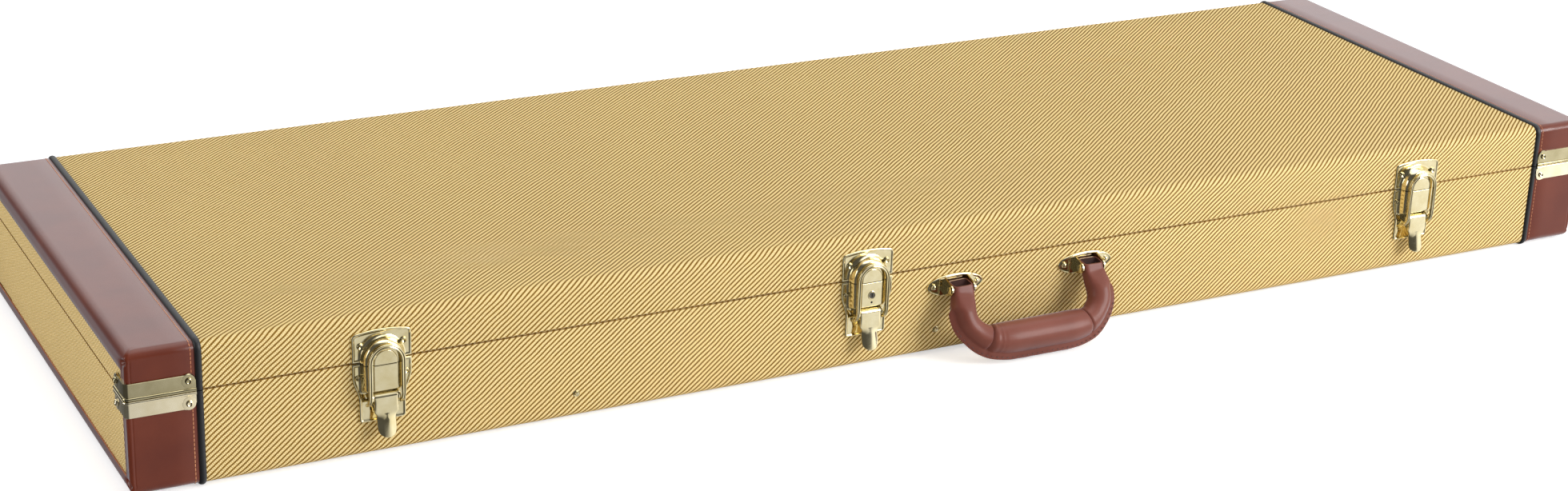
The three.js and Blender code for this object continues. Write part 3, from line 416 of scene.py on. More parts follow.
def skin(core, out, radius, tilt, level):
    """The box's outer skin: each row leaves the core by a radius that tilts from level, on the
    walls, to straight down, on the panel. level is the height of each row's core."""
    tilt, level = np.asarray(tilt)[:, None], np.asarray(level)[:, None]
    reach = radius * np.cos(tilt)
    xy = core[None] + reach[..., None] * out[None]
    z = level - radius * np.sin(tilt)
    return np.concatenate([xy, np.broadcast_to(z, reach.shape)[..., None]], axis=2)


def flat(x_values, y_values, z):
    """A flat grid over x and y values at a height, which may differ from column to column."""
    x, y = np.meshgrid(x_values, y_values)
    return grid(np.stack([x, y, np.broadcast_to(z, x.shape)], axis=2))


def half_side(side, part):
    """Turns a part drawn for the base, with heights over the panel's outer face, to its side."""
    points, faces = part
    z = BOTTOM + points[:, 2] if side == "base" else TOP - points[:, 2]
    return np.column_stack([points[:, :2], z]), faces


def wall_height(side):
    """From the panel's outer face to the rim."""
    return BASE_TOP - BOTTOM if side == "base" else TOP - LID_BOTTOM


def half_turned(part):
    """The same part on the other end of the case."""
    return part[0] * [-1, -1, 1], part[1]


def cloth_shell(side):
    """The plywood box under its cloth: walls and a rounded edge round a core rectangle, a rolled
    rim, and the bare inside. It steps in by the wrap's tuck past the piping."""
    wall = wall_height(side)
    step, past_piping = 0.4, 575
    x_breaks = np.array([0, HALF_X / 2, PIPING_X - step, PIPING_X + step, past_piping,
                         HALF_X - EDGE_RADIUS])
    y_breaks = np.linspace(-1, 1, 9) * (HALF_Y - EDGE_RADIUS)
    core, out = end_ring(x_breaks, y_breaks)
    core = np.concatenate([core, -core])
    out = np.concatenate([out, -out])
    radius = np.where(np.abs(core[:, 0]) > PIPING_X, EDGE_RADIUS - WRAP_TUCK, EDGE_RADIUS)
    edge_tilts = np.linspace(PI / 2, 0, 8)
    # Two rows low on the wall give the pinch its shape
    wall_levels = [EDGE_RADIUS + 2.5, EDGE_RADIUS + 6, wall - RIM_ROLL]
    levels = [EDGE_RADIUS] * len(edge_tilts) + wall_levels
    outer = skin(core, out, radius, np.append(edge_tilts, np.zeros(len(wall_levels))), levels)
    rows = [outer]
    for angle in np.linspace(0, PI / 2, 4)[1:]:
        reach = radius - RIM_ROLL * (1 - np.cos(angle))
        height = wall - RIM_ROLL + RIM_ROLL * np.sin(angle)
        rows.append(lifted(core + reach[:, None] * out, height)[None])
    outline = core + EDGE_RADIUS * out
    for inset, height in ((SIDE_WALL - RIM_ROLL, wall), (SIDE_WALL, wall - RIM_ROLL),
                          (SIDE_WALL, PANEL_WALL)):
        limit = np.array([HALF_X, HALF_Y]) - inset
        rows.append(lifted(np.clip(outline, -limit, limit), height)[None])
    x_all = np.concatenate([-x_breaks[:0:-1], x_breaks])
    tuck = np.where(np.abs(x_all) > PIPING_X, WRAP_TUCK, 0)
    inner = np.array([HALF_X, HALF_Y]) - SIDE_WALL
    points, quads = grid(np.concatenate(rows), closed=True)
    points = pinched(points, CLOTH_PINCH)
    # The rim's darker look, painted shade at the seam, starts one strip up its roll
    rim = slice(len(outer) * len(core), (len(outer) + 2) * len(core))
    parts = [
        (points, np.delete(quads, rim, axis=0)),
        (points, quads[rim]),
        flat(x_all, y_breaks, tuck[None]),
        flat(np.clip(x_all, -inner[0], inner[0]), np.clip(y_breaks, -inner[1], inner[1]), PANEL_WALL),
    ]
    parts = [half_side(side, part) for part in parts]
    looks = ["tweed", "seam_shade_cloth", "tweed", "tweed"]
    piece = make_piece(side + "_tweed_shell", parts, "tweed", side, [side + "_shell"], looks=looks)
    lay_cloth(piece.data, side)


def point_data(mesh, what):
    """Three values of every point of a mesh, such as its place, in one row."""
    values = np.empty(len(mesh.vertices) * 3)
    mesh.vertices.foreach_get(what, values)
    return values


def lay_cloth(mesh, side):
    """Writes the cloth's own coordinates, in metres: along the case, and round it from the front
    over the rounded edge and the panel to the rear. On the ends the cloth is turned a quarter."""
    faces_end_from = 0.6
    x, y, z = point_data(mesh, "co").reshape(-1, 3).T / MM
    up = 1 if side == "lid" else -1
    edge_z = TOP - EDGE_RADIUS if side == "lid" else BOTTOM + EDGE_RADIUS
    core_y = np.clip(y, EDGE_RADIUS - HALF_Y, HALF_Y - EDGE_RADIUS)
    over = np.maximum(up * (z - edge_z), 0)
    short = np.maximum(-up * (z - edge_z), 0)
    angle = np.arctan2(over, core_y - y)
    round_the_box = EDGE_RADIUS * angle + core_y + HALF_Y - EDGE_RADIUS
    round_the_box += np.where(angle > PI / 2, short, -short)
    cloth = np.stack([x, edge_z + up * round_the_box], axis=1)
    on_end = np.stack([z, y], axis=1)
    corner = np.empty(len(mesh.loops), dtype=int)
    mesh.loops.foreach_get("vertex_index", corner)
    normal = np.empty(len(mesh.polygons) * 3)
    mesh.polygons.foreach_get("normal", normal)
    sizes = np.empty(len(mesh.polygons), dtype=int)
    mesh.polygons.foreach_get("loop_total", sizes)
    faces_end = np.repeat(np.abs(normal.reshape(-1, 3)[:, 0]) > faces_end_from, sizes)
    uv = np.where(faces_end[:, None], on_end[corner], cloth[corner]) * MM
    layer = mesh.uv_layers.new(name="cloth")
    layer.data.foreach_set("uv", uv.ravel())


def thicken(piece, thickness, bevel, rim_finish):
    """Gives an open sheet its thickness, inwards, and rounds the edges of the sheet, which show
    another of the piece's finishes."""
    solid = piece.modifiers.new("sheet", "SOLIDIFY")
    solid.thickness = thickness * MM
    solid.offset = -1
    solid.material_offset_rim = rim_finish
    edge = piece.modifiers.new("edge", "BEVEL")
    edge.width = bevel * MM
    edge.segments = 2
    edge.limit_method = "ANGLE"
    edge.angle_limit = np.radians(SHEET_CORNER)


def end_wrap(side, end):
    """The bent leathercloth over one end: the box's skin past the piping, left open round the
    cloth panel of the end face. A fold runs up each corner and pleats at the panel."""
    wall = wall_height(side)
    start = PIPING_X + 0.6 * PIPING_RADIUS
    border = WRAP_WINDOW_BOTTOM if side == "base" else WRAP_WINDOW_TOP
    window_y = HALF_Y - WRAP_WINDOW_SIDE
    fold_x, fold_y = HALF_X - EDGE_RADIUS, HALF_Y - EDGE_RADIUS
    # The sheet's grid is closer beside the fold, and between the window and the corner
    past_piping = 570
    x_breaks = np.array([start, past_piping, fold_x - 10, fold_x - 4, fold_x - 1, fold_x])
    inner_y = np.linspace(-1, 1, 15) * (window_y - 12)
    near_corner = np.append(np.linspace(window_y, fold_y, 5), window_y - 5)
    y_breaks = np.sort(np.concatenate([inner_y, near_corner, -near_corner]))
    core, out = end_ring(x_breaks, y_breaks, 8, fine=9)
    edge_tilts = np.linspace(PI / 2, 0, 14)
    pinch_rows = EDGE_RADIUS + np.array([0.7, 1.4, 2.1, 2.8, 3.7, 4.7])
    wall_levels = np.append(pinch_rows, [border, wall - RIM_ROLL, wall])
    levels = np.append(np.full(len(edge_tilts), EDGE_RADIUS), wall_levels)
    tilts = np.append(edge_tilts, np.zeros(len(wall_levels)))
    points, quads = grid(skin(core, out, np.full(len(core), EDGE_RADIUS), tilts, levels))
    middle = points[quads].mean(axis=1)
    open_panel = (np.abs(middle[:, 1]) < window_y) & (middle[:, 2] > border)
    panel_points, panel_quads = flat(x_breaks, y_breaks, 0.0)
    parts = []
    for sheet, faces in ((points, quads[~open_panel]), (panel_points, panel_quads[:, ::-1])):
        part = fold_corners(sheet), faces if side == "base" else faces[:, ::-1]
        parts.append(half_side(side, part if end == "right" else half_turned(part)))
    name = side + "_leather_wrap_" + end
    piece = make_piece(name, parts, "leathercloth", side, [side + "_wrap_" + end], closed=False)
    piece.data.materials.append(MATERIALS["cut_edge"])
    thicken(piece, WRAP_THICKNESS, WRAP_BEVEL, rim_finish=1)


def fold_corners(points):
    """Works the folds of the bent cloth, each a bell curve: a crease beside each upright edge, a
    pleat where the edge runs onto the panel, and the pinch at the edge's end."""
    crease_depth, crease_width, crease_place = 0.22, 0.4, 3.4
    pleat_depth, pleat_width, pleat_run = 0.5, 1.2, 9.0
    from_side = HALF_Y - np.abs(points[:, 1])
    from_end = HALF_X - points[:, 0]
    upright = smoothstep(points[:, 2], EDGE_RADIUS * 0.7, EDGE_RADIUS * 1.3)
    crease = crease_depth * np.exp(-((from_end - crease_place) / crease_width) ** 2)
    crease *= upright * (from_side < crease_place)
    on_panel = points[:, 2] < EDGE_RADIUS / 2
    pleat = pleat_depth * np.exp(-((from_end - from_side) / pleat_width) ** 2) * on_panel
    pleat *= np.exp(-(np.hypot(from_end, from_side) / pleat_run) ** 2)
    bent = pinched(points, WRAP_PINCH)
    bent[:, 1] -= np.sign(points[:, 1]) * crease
    bent[:, 2] += pleat
    return bent


def pinched(points, depth):
    """Sinks the hollow where the cloth is gathered, on the end face at each upright edge's end: a
    bell in all three directions, which leans towards the panel as it nears the edge."""
    pinch_at = np.array([HALF_X, HALF_Y - 4.6, EDGE_RADIUS + 1.8])
    pinch_widths = [3.5, 3.0, 1.7]
    lean = 0.25
    inward_share = np.array([1, 0.1, 0])
    off = np.abs(points) - pinch_at
    off[:, 2] += lean * off[:, 1]
    pinch = depth * np.exp(-np.sum((off / pinch_widths) ** 2, axis=1))
    return points - np.sign(points) * inward_share * pinch[:, None]


def belt_path(side, out):
    """A path round one half of the box in the YZ plane, from the front seam over the panel to the
    rear seam: straight walls, quarter turns and the panel, a distance out of the surface. Also
    gives the direction out of the surface at each point."""
    wall = wall_height(side)
    turn = np.linspace(0, PI / 2, 11)
    core_y = HALF_Y - EDGE_RADIUS
    angle = np.concatenate([[0], turn, PI / 2 + turn, [PI]])
    core = np.repeat([-core_y, core_y], len(turn) + 1)
    level = np.concatenate([[wall], np.full(2 * len(turn), EDGE_RADIUS), [wall]])
    normal = np.stack([-np.cos(angle), -np.sin(angle)], axis=1)
    yz = np.stack([core, level], axis=1) + (EDGE_RADIUS + out) * normal
    if side == "base":
        return np.stack([yz[:, 0], BOTTOM + yz[:, 1]], axis=1), normal
    return np.stack([yz[:, 0], TOP - yz[:, 1]], axis=1), normal * [1, -1]


def end_piping(side, end):
    """Vinyl-covered cord beside the wrap: an oval carried along a path round the half box, and
    drawn in to a small dome at each end."""
    yz, normal = belt_path(side, -PIPING_SINK)
    centre = np.column_stack([np.full(len(yz), ENDS[end] * PIPING_X), yz])[:, None]
    over = np.column_stack([np.zeros(len(yz)), normal])[:, None]
    turn = np.linspace(0, 2 * PI, 14, endpoint=False)[None, :, None]
    along_x = np.array([1.0, 0, 0])
    rings = PIPING_RADIUS * (PIPING_WIDE_SHARE * np.cos(turn) * along_x + np.sin(turn) * over)
    dome_shares = (0.0, 0.7)
    first = [centre[:1] + share * rings[:1] for share in dome_shares]
    last = [centre[-1:] + share * rings[-1:] for share in dome_shares[::-1]]
    part = grid(np.concatenate([*first, centre + rings, *last]), closed=True)
    make_piece(side + "_piping_cord_" + end, [part], "piping", side, [side + "_piping_" + end])


def stitch(length, radius):
    """One stitch along X: a spindle of rings that narrows and dips at both ends. Its girth is the
    root of one less the fourth power of the share along it, and its dip the share's square."""
    dip = 0.25 * radius
    share = np.linspace(-1, 1, 5)[:, None]
    turn = np.linspace(0, 2 * PI, 6, endpoint=False)
    girth = radius * np.sqrt(1 - share ** 4)
    x = np.broadcast_to(share * length / 2, (len(share), len(turn)))
    y = girth * np.cos(turn)
    z = girth * np.sin(turn) - dip * share ** 2
    return grid(np.stack([x, y, z], axis=2), closed=True)


def stitch_row(centre, along, over, length, radius):
    """Stitches at several places, each turned so that it runs along and stands over the sheet."""
    points, quads = stitch(length, radius)
    across = np.cross(over, along)
    turned_points = (points[None, :, :1] * along[:, None] + points[None, :, 1:2] * across[:, None]
                     + points[None, :, 2:] * over[:, None])
    placed = (turned_points + centre[:, None]).reshape(-1, 3)
    starts = np.arange(len(centre))[:, None, None] * len(points)
    return placed, (quads[None] + starts).reshape(-1, 4)


def runs(path):
    """The distance along a path to each of its points."""
    return np.concatenate([[0], np.cumsum(np.linalg.norm(np.diff(path, axis=0), axis=1))])


def at_run(path, run, at):
    """Points on a path at given distances along it, on straight lines between its points."""
    return np.stack([np.interp(at, run, column) for column in path.T], axis=1)


def along_path(path, pitch):
    """Places at an even pitch along a path, with the direction there."""
    probe = 0.05
    run = runs(path)
    count = int(run[-1] / pitch)
    at = (np.arange(count) + 0.5) * run[-1] / count
    direction = at_run(path, run, at + probe) - at_run(path, run, at - probe)
    return at_run(path, run, at), unit(direction)


def wrap_stitching(side, end):
    """The seam that sews the leathercloth down beside the piping: stitches along the half box."""
    thread_lift = 0.05
    yz, _ = belt_path(side, thread_lift)
    place, direction = along_path(yz, STITCH_PITCH)
    x = ENDS[end] * (PIPING_X + STITCH_FROM_PIPING)
    centre = np.column_stack([np.full(len(place), x), place])
    along = np.column_stack([np.zeros(len(place)), direction])
    over = np.cross(along, [1.0, 0, 0]) * (1 if side == "base" else -1)
    part = stitch_row(centre, along, over, STITCH_LENGTH, STITCH_RADIUS)
    make_piece(side + "_wrap_stitching_" + end, [part], "thread", side, slot="leathercloth")


for half in SIDES:
    cloth_shell(half)
    for which_end in ENDS:
        end_wrap(half, which_end)
        end_piping(half, which_end)
        wrap_stitching(half, which_end)


def rectangle(half, low, high):
    """A rectangle's corners, anticlockwise, from half its width and its lower and upper side."""
    return [[-half, low], [half, low], [half, high], [-half, high]]


def soft_polygon(corners, radius, steps=4):
    """A closed outline through corners, each rounded by a quadratic curve that starts and ends a
    radius away from the corner. A radius of zero keeps the corner sharp."""
    corners = np.asarray(corners, float)
    radius = np.broadcast_to(np.asarray(radius, float), len(corners))[:, None, None]
    to_last = unit(np.roll(corners, 1, axis=0) - corners)
    to_next = unit(np.roll(corners, -1, axis=0) - corners)
    t = np.linspace(0, 1, steps + 1)[None, :, None]
    bent = (corners[:, None] + radius * to_last[:, None] * (1 - t) ** 2
            + radius * to_next[:, None] * t ** 2).reshape(-1, 2)
    keep = np.linalg.norm(bent - np.roll(bent, 1, axis=0), axis=1) > 1e-4
    return bent[keep]


def arch(half_width, bottom, centre):
    """A closed outline with a flat foot, straight sides and a half-round top."""
    turn = np.linspace(0, PI, 25)
    top = np.stack([half_width * np.cos(turn), centre + half_width * np.sin(turn)], axis=1)
    foot = np.column_stack([half_width * np.linspace(-1, 1, 7), np.full(7, bottom)])
    return np.concatenate([foot, top])


def ellipse(half_width, half_height):
    """A closed oval outline: the cosine and the sine of the turn, each by its half size."""
    turn = np.linspace(0, 2 * PI, 48, endpoint=False)
    return np.stack([half_width * np.cos(turn), half_height * np.sin(turn)], axis=1)


def inward(outline):
    """Mitred directions into a closed outline that runs anticlockwise: at each corner, the sum of
    its two sides' normals over one more than their product."""
    ahead = unit(np.roll(outline, -1, axis=0) - outline)
    normal = np.stack([-ahead[:, 1], ahead[:, 0]], axis=1)
    last = np.roll(normal, 1, axis=0)
    return (normal + last) / (1 + np.sum(normal * last, axis=1, keepdims=True))


def pressed(outline, rows):
    """A skin over an outline: each row draws the outline in by an inset and lifts it to a height.
    Its first and last rows stay open, and make_piece closes them with flat faces."""
    into = inward(outline)
    rings = [lifted(outline + inset * into, height) for inset, height in rows]
    return grid(np.stack(rings), closed=True)


def lofted(rings):
    """A closed skin through rings of equally many points, closed onto each end ring's middle."""
    rings = np.asarray(rings)
    ends = [np.tile(ring.mean(axis=0), (len(ring), 1)) for ring in (rings[0], rings[-1])]
    return grid(np.concatenate([ends[0][None], rings, ends[1][None]]), closed=True)


def turned(profile, centre, around=24):
    """A round piece that stands out of a sheet: a profile of (radius, height) spun about its
    axis. It starts and ends on the axis."""
    profile = np.asarray(profile, float)
    turn = np.linspace(0, 2 * PI, around, endpoint=False)
    radius, height = profile[:, :1], profile[:, 1:]
    points = np.stack([centre[0] + radius * np.cos(turn), centre[1] + radius * np.sin(turn),
                       centre[2] + np.broadcast_to(height, (len(profile), around))], axis=2)
    return grid(points, closed=True)


def ear_profile(pin, foot_out, foot_half, radius, steps):
    """A folded ear from the side, as (out, up): a straight foot, and a half circle round its pin."""
    turn = np.linspace(-PI / 2, PI / 2, steps)
    foot = [[foot_out, pin[1] + foot_half], [foot_out, pin[1] - foot_half]]
    return np.concatenate([foot, pin + radius * np.stack([np.cos(turn), np.sin(turn)], axis=1)])


def sideways(part, shift=0.0):
    """Turns a part drawn as (out, up, along) to (along, up, out), shifted along the case."""
    return moved((part[0][:, [2, 1, 0]], part[1]), (shift, 0, 0))


def on_front(part, x):
    """Puts a fitting drawn as (along, height over the box's bottom, out) on the front."""
    along, up, out = part[0].T
    return np.column_stack([x + along, FRONT - out, BOTTOM + up]), part[1]


def on_rear(part, x):
    """Puts a fitting drawn as (along, height over the box's bottom, out) on the rear."""
    along, up, out = part[0].T
    return np.column_stack([x - along, HALF_Y + out, BOTTOM + up]), part[1]


def front_piece(name, parts, x, finish, body, node, **more):
    """One piece of a fitting on the front, from its parts and its place along the case."""
    make_piece(name, [on_front(part, x) for part in parts], finish, body, [node], **more)


def dished_rivet(x, up, sheet, radius=RIVET_RADIUS):
    """A tubular rivet: a rolled rim round a shallow dish, as shares of its radius and height."""
    shape_shares = ((0, -0.3), (1.0, -0.3), (1.0, 0.35), (0.88, 0.75), (0.68, 0.95), (0.5, 0.85),
                    (0.3, 0.5), (0, 0.42))
    profile = [(r * radius, h * RIVET_HEIGHT) for r, h in shape_shares]
    return turned(profile, (x, up, sheet))


def domed_rivet(x, up, sheet):
    """A round-headed rivet: a quarter of an ellipse over a small washer."""
    washer, head, rise = 0.4, 0.8 * RIVET_RADIUS, 0.85 * RIVET_HEIGHT
    turn = np.linspace(0, PI / 2, 6)[:-1]
    dome = [(head * np.cos(t), washer + rise * np.sin(t)) for t in turn]
    profile = [(0, -0.3), (RIVET_RADIUS, -0.3), (RIVET_RADIUS, 0.3), (0.82 * RIVET_RADIUS, washer),
               *dome, (0, washer + rise)]
    return turned(profile, (x, up, sheet))


def capped_rod(radius, start, end, out, up, around=16, head=None):
    """A rod along the case, as a profile of (radius, run) spun about its axis: its ends are
    rounded, or each has a low domed head, given as (radius, length)."""
    length = end - start
    crown = 0.25 * radius
    cap = [(0, 0), (0.8 * radius, 0), (radius, crown)]
    if head:
        head_radius, head_length = head
        cap = [(0, 0), (0.75 * head_radius, 0.1), (head_radius, 0.5 * head_length),
               (head_radius, head_length), (radius, head_length)]
    stations = cap + [(reach, length - run) for reach, run in cap[::-1]]
    points, faces = turned(stations, (0, 0, 0), around)
    return np.column_stack([start + points[:, 2], up + points[:, 1], out + points[:, 0]]), faces


# Heights over the box's bottom that the fittings share
SEAM_UP = SEAM - BOTTOM
BASE_UP = BASE_TOP - BOTTOM
LID_UP = LID_BOTTOM - BOTTOM


def clamp_band(section, seam, up, short=0.0):
    """A strip bent round the upright corner: its section, as (out, height over the seam), swept
    from the front leaf's end, round a quarter turn, to the end leaf's, both cut short."""
    turn = np.linspace(0, PI / 2, 9)
    core = np.concatenate([[[CLAMP_FRONT_REACH - short, CLAMP_BEND]],
                           np.full((len(turn), 2), CLAMP_BEND),
                           [[CLAMP_BEND, CLAMP_END_REACH - short]]])
    normal = np.concatenate([[[0, -1]], np.stack([-np.sin(turn), -np.cos(turn)], axis=1), [[-1, 0]]])
    section = np.asarray(section)
    reach = (CLAMP_BEND + section[:, 0])[None, :, None]
    xy = core[:, None] + reach * normal[:, None]
    z = np.broadcast_to(seam + up * section[:, 1], xy.shape[:2])
    return lofted(np.concatenate([xy, z[..., None]], axis=2))


def corner_clamp(side, face, end):
    """Half of a corner clamp: a strip bent round the upright corner, whose edge at the seam is
    rolled into a bead. Each leaf ends in a round lobe with a rivet, over the end of the bead."""
    up = 1 if side == "lid" else -1
    rim_gap, back, edge = 0.2, -0.3, 0.35
    strip_low, hidden_low, hidden_high, neck = 0.9, 0.6, 4.0, 2.0
    hidden = CLAMP_SHEET - 0.02
    seam = (LID_UP if side == "lid" else BASE_UP) - up * rim_gap
    strip = [[back, strip_low], [CLAMP_SHEET, strip_low], [CLAMP_SHEET, CLAMP_HEIGHT - edge],
             [CLAMP_SHEET - edge, CLAMP_HEIGHT], [back, CLAMP_HEIGHT]]
    low_strip = [[back + 0.1, hidden_low], [hidden, hidden_low], [hidden, hidden_high],
                 [back + 0.1, hidden_high]]
    roll = np.linspace(0, PI, 9)
    bead = np.stack([CLAMP_SHEET + CLAMP_BEAD_PROUD * np.sin(roll),
                     CLAMP_BEAD / 2 * (1 - np.cos(roll))], axis=1)
    beaded = [*bead, [back + 0.2, CLAMP_BEAD], [back + 0.2, 0]]
    parts = [clamp_band(strip, seam, up, CLAMP_LOBE + neck), clamp_band(low_strip, seam, up),
             clamp_band(beaded, seam, up)]
    # The lobe, its rivet and the web that joins it to the strip, round the rivet's own place
    crown = CLAMP_SHEET + 0.2
    lobe = [(0, back), (CLAMP_LOBE, back), (CLAMP_LOBE, CLAMP_SHEET - edge),
            (CLAMP_LOBE - edge, crown - 0.08), (3.3, crown), (0, crown)]
    low = 0.5 - CLAMP_RIVET_RISE
    web = [[-neck - 1, low], [CLAMP_LOBE, low], [CLAMP_LOBE, 0], [0, 4.3], [-neck - 1, 4.1]]
    sheet = pressed(soft_polygon(web[::up], 0), ((0, back), (0, hidden - 0.02)))
    leaf_end = [turned(lobe, (0, 0, 0), 32), dished_rivet(0, 0, CLAMP_SHEET + 0.1),
                (sheet[0] * [1, up, 1], sheet[1])]
    rise = seam + up * CLAMP_RIVET_RISE
    for points, faces in leaf_end:
        along, height, out = points.T
        front = (CLAMP_FRONT_REACH - CLAMP_LOBE + along, -out)
        side_on = (-out, CLAMP_END_REACH - CLAMP_LOBE + along)
        parts += [(np.column_stack([*way, rise + height]), faces) for way in (front, side_on)]
    turn_x, turn_y = ENDS[end], -1 if face == "front" else 1
    placed = []
    for points, faces in parts:
        place = np.array([turn_x * HALF_X, turn_y * HALF_Y, BOTTOM]) - points * [turn_x, turn_y, -1]
        placed.append((place, faces))
    # One brass in two copies: darker on the lid's clamps as painted shade, paler on the base's as
    # painted light
    finish = "brass_painted_shade" if side == "lid" else "brass_painted_light"
    make_piece(f"{side}_corner_clamp_{face}_{end}", placed, finish, side,
               [f"{side}_clamp_{face}_{end}"], slot="brass", sharp=32)


# Sizes of the latches, with heights over the box's bottom
LATCH_X = {which: span("latch_plate_" + which).mean(axis=0)[0] for which in LATCHES}
LATCH_HALF = 21.0
KEEPER_SIDE = 20.0
KEEPER_CROWN = 2.4
BOSS_HALF = 8.3
BOSS_OUT = 9.0
ARCH_CENTRE = SEAM_UP + 2.0
PIVOT_OUT = 6.0
PIVOT_UP = SEAM_UP - 24.0
BARREL = 3.0
LATCH_EAR_GAP = 0.3
LATCH_EAR_HALF = 0.6
PIN_PLAY = 0.15
# The loop is carried on the lever, below the lever's own pin
LOOP_PIVOT_OUT = 5.1
LOOP_PIVOT_UP = PIVOT_UP - 5.193
# The rivets stand on the sheets' flats
LATCH_FLAT = 1.0
KEEPER_RIVET_SIDE, KEEPER_RIVET_UP = 15.0, SEAM_UP + 12.0
PLATE_RIVET_SIDE, PLATE_RIVET_UP = 16.8, SEAM_UP - 10.5
PLATE_RIVET_RADIUS = 2.0
LOCK_UP = SEAM_UP - 10.0
DRAWN_END_UP = SEAM_UP - 18.7
# A pressed sheet's rim, as (inset, height): it rises, rolls over and drops to the flat
RIM_ROWS = ((0, 0), (0.1, 0.7), (0.55, 1.45), (1.05, 1.62), (1.55, 1.42), (1.9, 1.08), (2.5, 1.05))
# The drawn form's wall, as (half width, out), from a flared foot to its rounded shoulder
DRAWN_WALL = ((16.8, 1.0), (16.0, 1.25), (15.4, 1.9), (14.9, 3.2), (14.3, 5.2), (13.85, 6.7),
              (13.3, 7.5), (12.7, 7.9), (12.0, 8.0))
# The half width of the drawn form's top, from which its lower end spreads as its sides do
DRAWN_TOP_HALF = 12.7
# The boss's wall, in the same way
BOSS_WALL = ((8.35, 8.0), (8.3, 8.5), (8.1, 8.85), (7.7, 9.0), (7.2, 9.0))


def latch_keeper(which):
    """The lid's half of a latch: a crowned sheet with a rolled rim, an arched drawn form, a boss
    with its own arch, and two rivets. The crown is a parabola."""
    side_top = LID_UP + KEEPER_SIDE
    crown = np.linspace(1, -1, 13)[1:-1]
    outline = [[-LATCH_HALF, LID_UP], [LATCH_HALF, LID_UP], [LATCH_HALF, side_top]]
    outline += [[LATCH_HALF * share, side_top + KEEPER_CROWN * (1 - share ** 2)] for share in crown]
    outline += [[-LATCH_HALF, side_top]]
    plate = soft_polygon(outline, [0, 0, 3.0] + [0] * len(crown) + [3.0])
    rings = [lifted(arch(half, LID_UP, ARCH_CENTRE), out) for half, out in DRAWN_WALL + BOSS_WALL]
    parts = [pressed(plate, RIM_ROWS), lofted(rings)]
    parts += [dished_rivet(hand * KEEPER_RIVET_SIDE, KEEPER_RIVET_UP, LATCH_FLAT) for hand in (-1, 1)]
    front_piece("latch_keeper_dress_" + which, parts, LATCH_X[which], "brass", "lid",
                "latch_keeper_" + which, sharp=50)


def latch_plate(which):
    """The base's half of a latch: a waisted sheet with a rolled rim, a drawn form that carries on
    the keeper's, the panel over the lever's pin, two ears and two rivets. The panel is a side
    profile carried along the case, so that its lower end can slant clear of the lever."""
    shoulder, waist, foot = SEAM_UP - 13.0, SEAM_UP - 25.0, SEAM_UP - 43.5
    foot_half, taper = 16.5, 0.6
    outline = [[LATCH_HALF, BASE_UP], [-LATCH_HALF, BASE_UP], [-LATCH_HALF, shoulder],
               [-foot_half, waist], [-foot_half, foot], [foot_half, foot], [foot_half, waist],
               [LATCH_HALF, shoulder]]
    plate = soft_polygon(outline, [0, 0, 4.0, 4.0, 2.8, 2.8, 4.0, 4.0])
    rings = []
    for half, out in DRAWN_WALL:
        low = DRAWN_END_UP - (half - DRAWN_TOP_HALF)
        shape = [[half, BASE_UP], [-half, BASE_UP], [-half + taper, low], [half - taper, low]]
        rings.append(lifted(soft_polygon(shape, [0, 0, 3.0, 3.0], 5), out))
    inner_end, outer_end, panel_back = SEAM_UP - 20.8, SEAM_UP - 18.5, 5.0
    panel = soft_polygon(
        [[panel_back, BASE_UP], [panel_back, inner_end], [BOSS_OUT, outer_end],
         [BOSS_OUT, outer_end + 1.4], [BOSS_OUT, BASE_UP - 0.8], [BOSS_OUT, BASE_UP]],
        [0.5, 0.5, 1.2, 0, 0, 0.5])
    panel_edge = ((0.35, 0), (0.1, 0.1), (0, 0.35), (0, 0.6))
    panel_rows = [(inset, run - BOSS_HALF) for inset, run in panel_edge]
    panel_rows += [(inset, BOSS_HALF - run) for inset, run in panel_edge[::-1]]
    core_low = outer_end + 1
    core = soft_polygon(rectangle(BOSS_HALF, core_low, BASE_UP), 0.3, 2)
    parts = [pressed(plate, RIM_ROWS), lofted(rings), sideways(pressed(panel, panel_rows)),
             pressed(core, ((0, 0.6), (0, 5.5)))]
    ear = ear_profile((PIVOT_OUT, PIVOT_UP), 0.6, 3.3, 3.3, 13)
    ear = pressed(ear, ((0, -LATCH_EAR_HALF), (0, 0.35), (0.25, LATCH_EAR_HALF)))
    for hand in (-1, 1):
        parts.append(sideways(ear, hand * (BOSS_HALF + LATCH_EAR_GAP + LATCH_EAR_HALF)))
        parts.append(dished_rivet(hand * PLATE_RIVET_SIDE, PLATE_RIVET_UP, LATCH_FLAT,
                                  PLATE_RIVET_RADIUS))
    looks = ["brass"] * len(parts)
    if which == "middle":
        collar = [(0, -0.2), (3.3, -0.2), (3.3, 0.12), (3.05, 0.3), (2.7, 0.3), (2.6, 0.05), (0, 0.05)]
        parts.append(turned(collar, (0, LOCK_UP, BOSS_OUT), 32))
        hole = [(0, -0.3), (0.85, -0.3), (0.85, 0.02), (0, 0.02)]
        parts.append(turned(hole, (0, LOCK_UP - 5.4, BOSS_OUT), 16))
        looks += ["brass", "recess"]
    front_piece("latch_plate_dress_" + which, parts, LATCH_X[which], "brass", "base",
                "latch_plate_" + which, sharp=50, looks=looks)


def lock_barrel():
    """The key cylinder: a turned face with a bevelled lip and a dark upright keyway."""
    face = [(0, -4.0), (2.4, -4.0), (2.4, 0.1), (2.15, 0.35), (1.6, 0.22), (0, 0.22)]
    keyway = soft_polygon(rectangle(0.5, LOCK_UP - 1.5, LOCK_UP + 1.5), 0.4, 3)
    parts = [turned(face, (0, LOCK_UP, BOSS_OUT), 32),
             pressed(keyway, ((0, BOSS_OUT - 1), (0, BOSS_OUT + 0.24)))]
    front_piece("lock_barrel", parts, LATCH_X["middle"], "brass", "lock_cylinder", "lock_cylinder",
                looks=["lock_steel", "recess"])


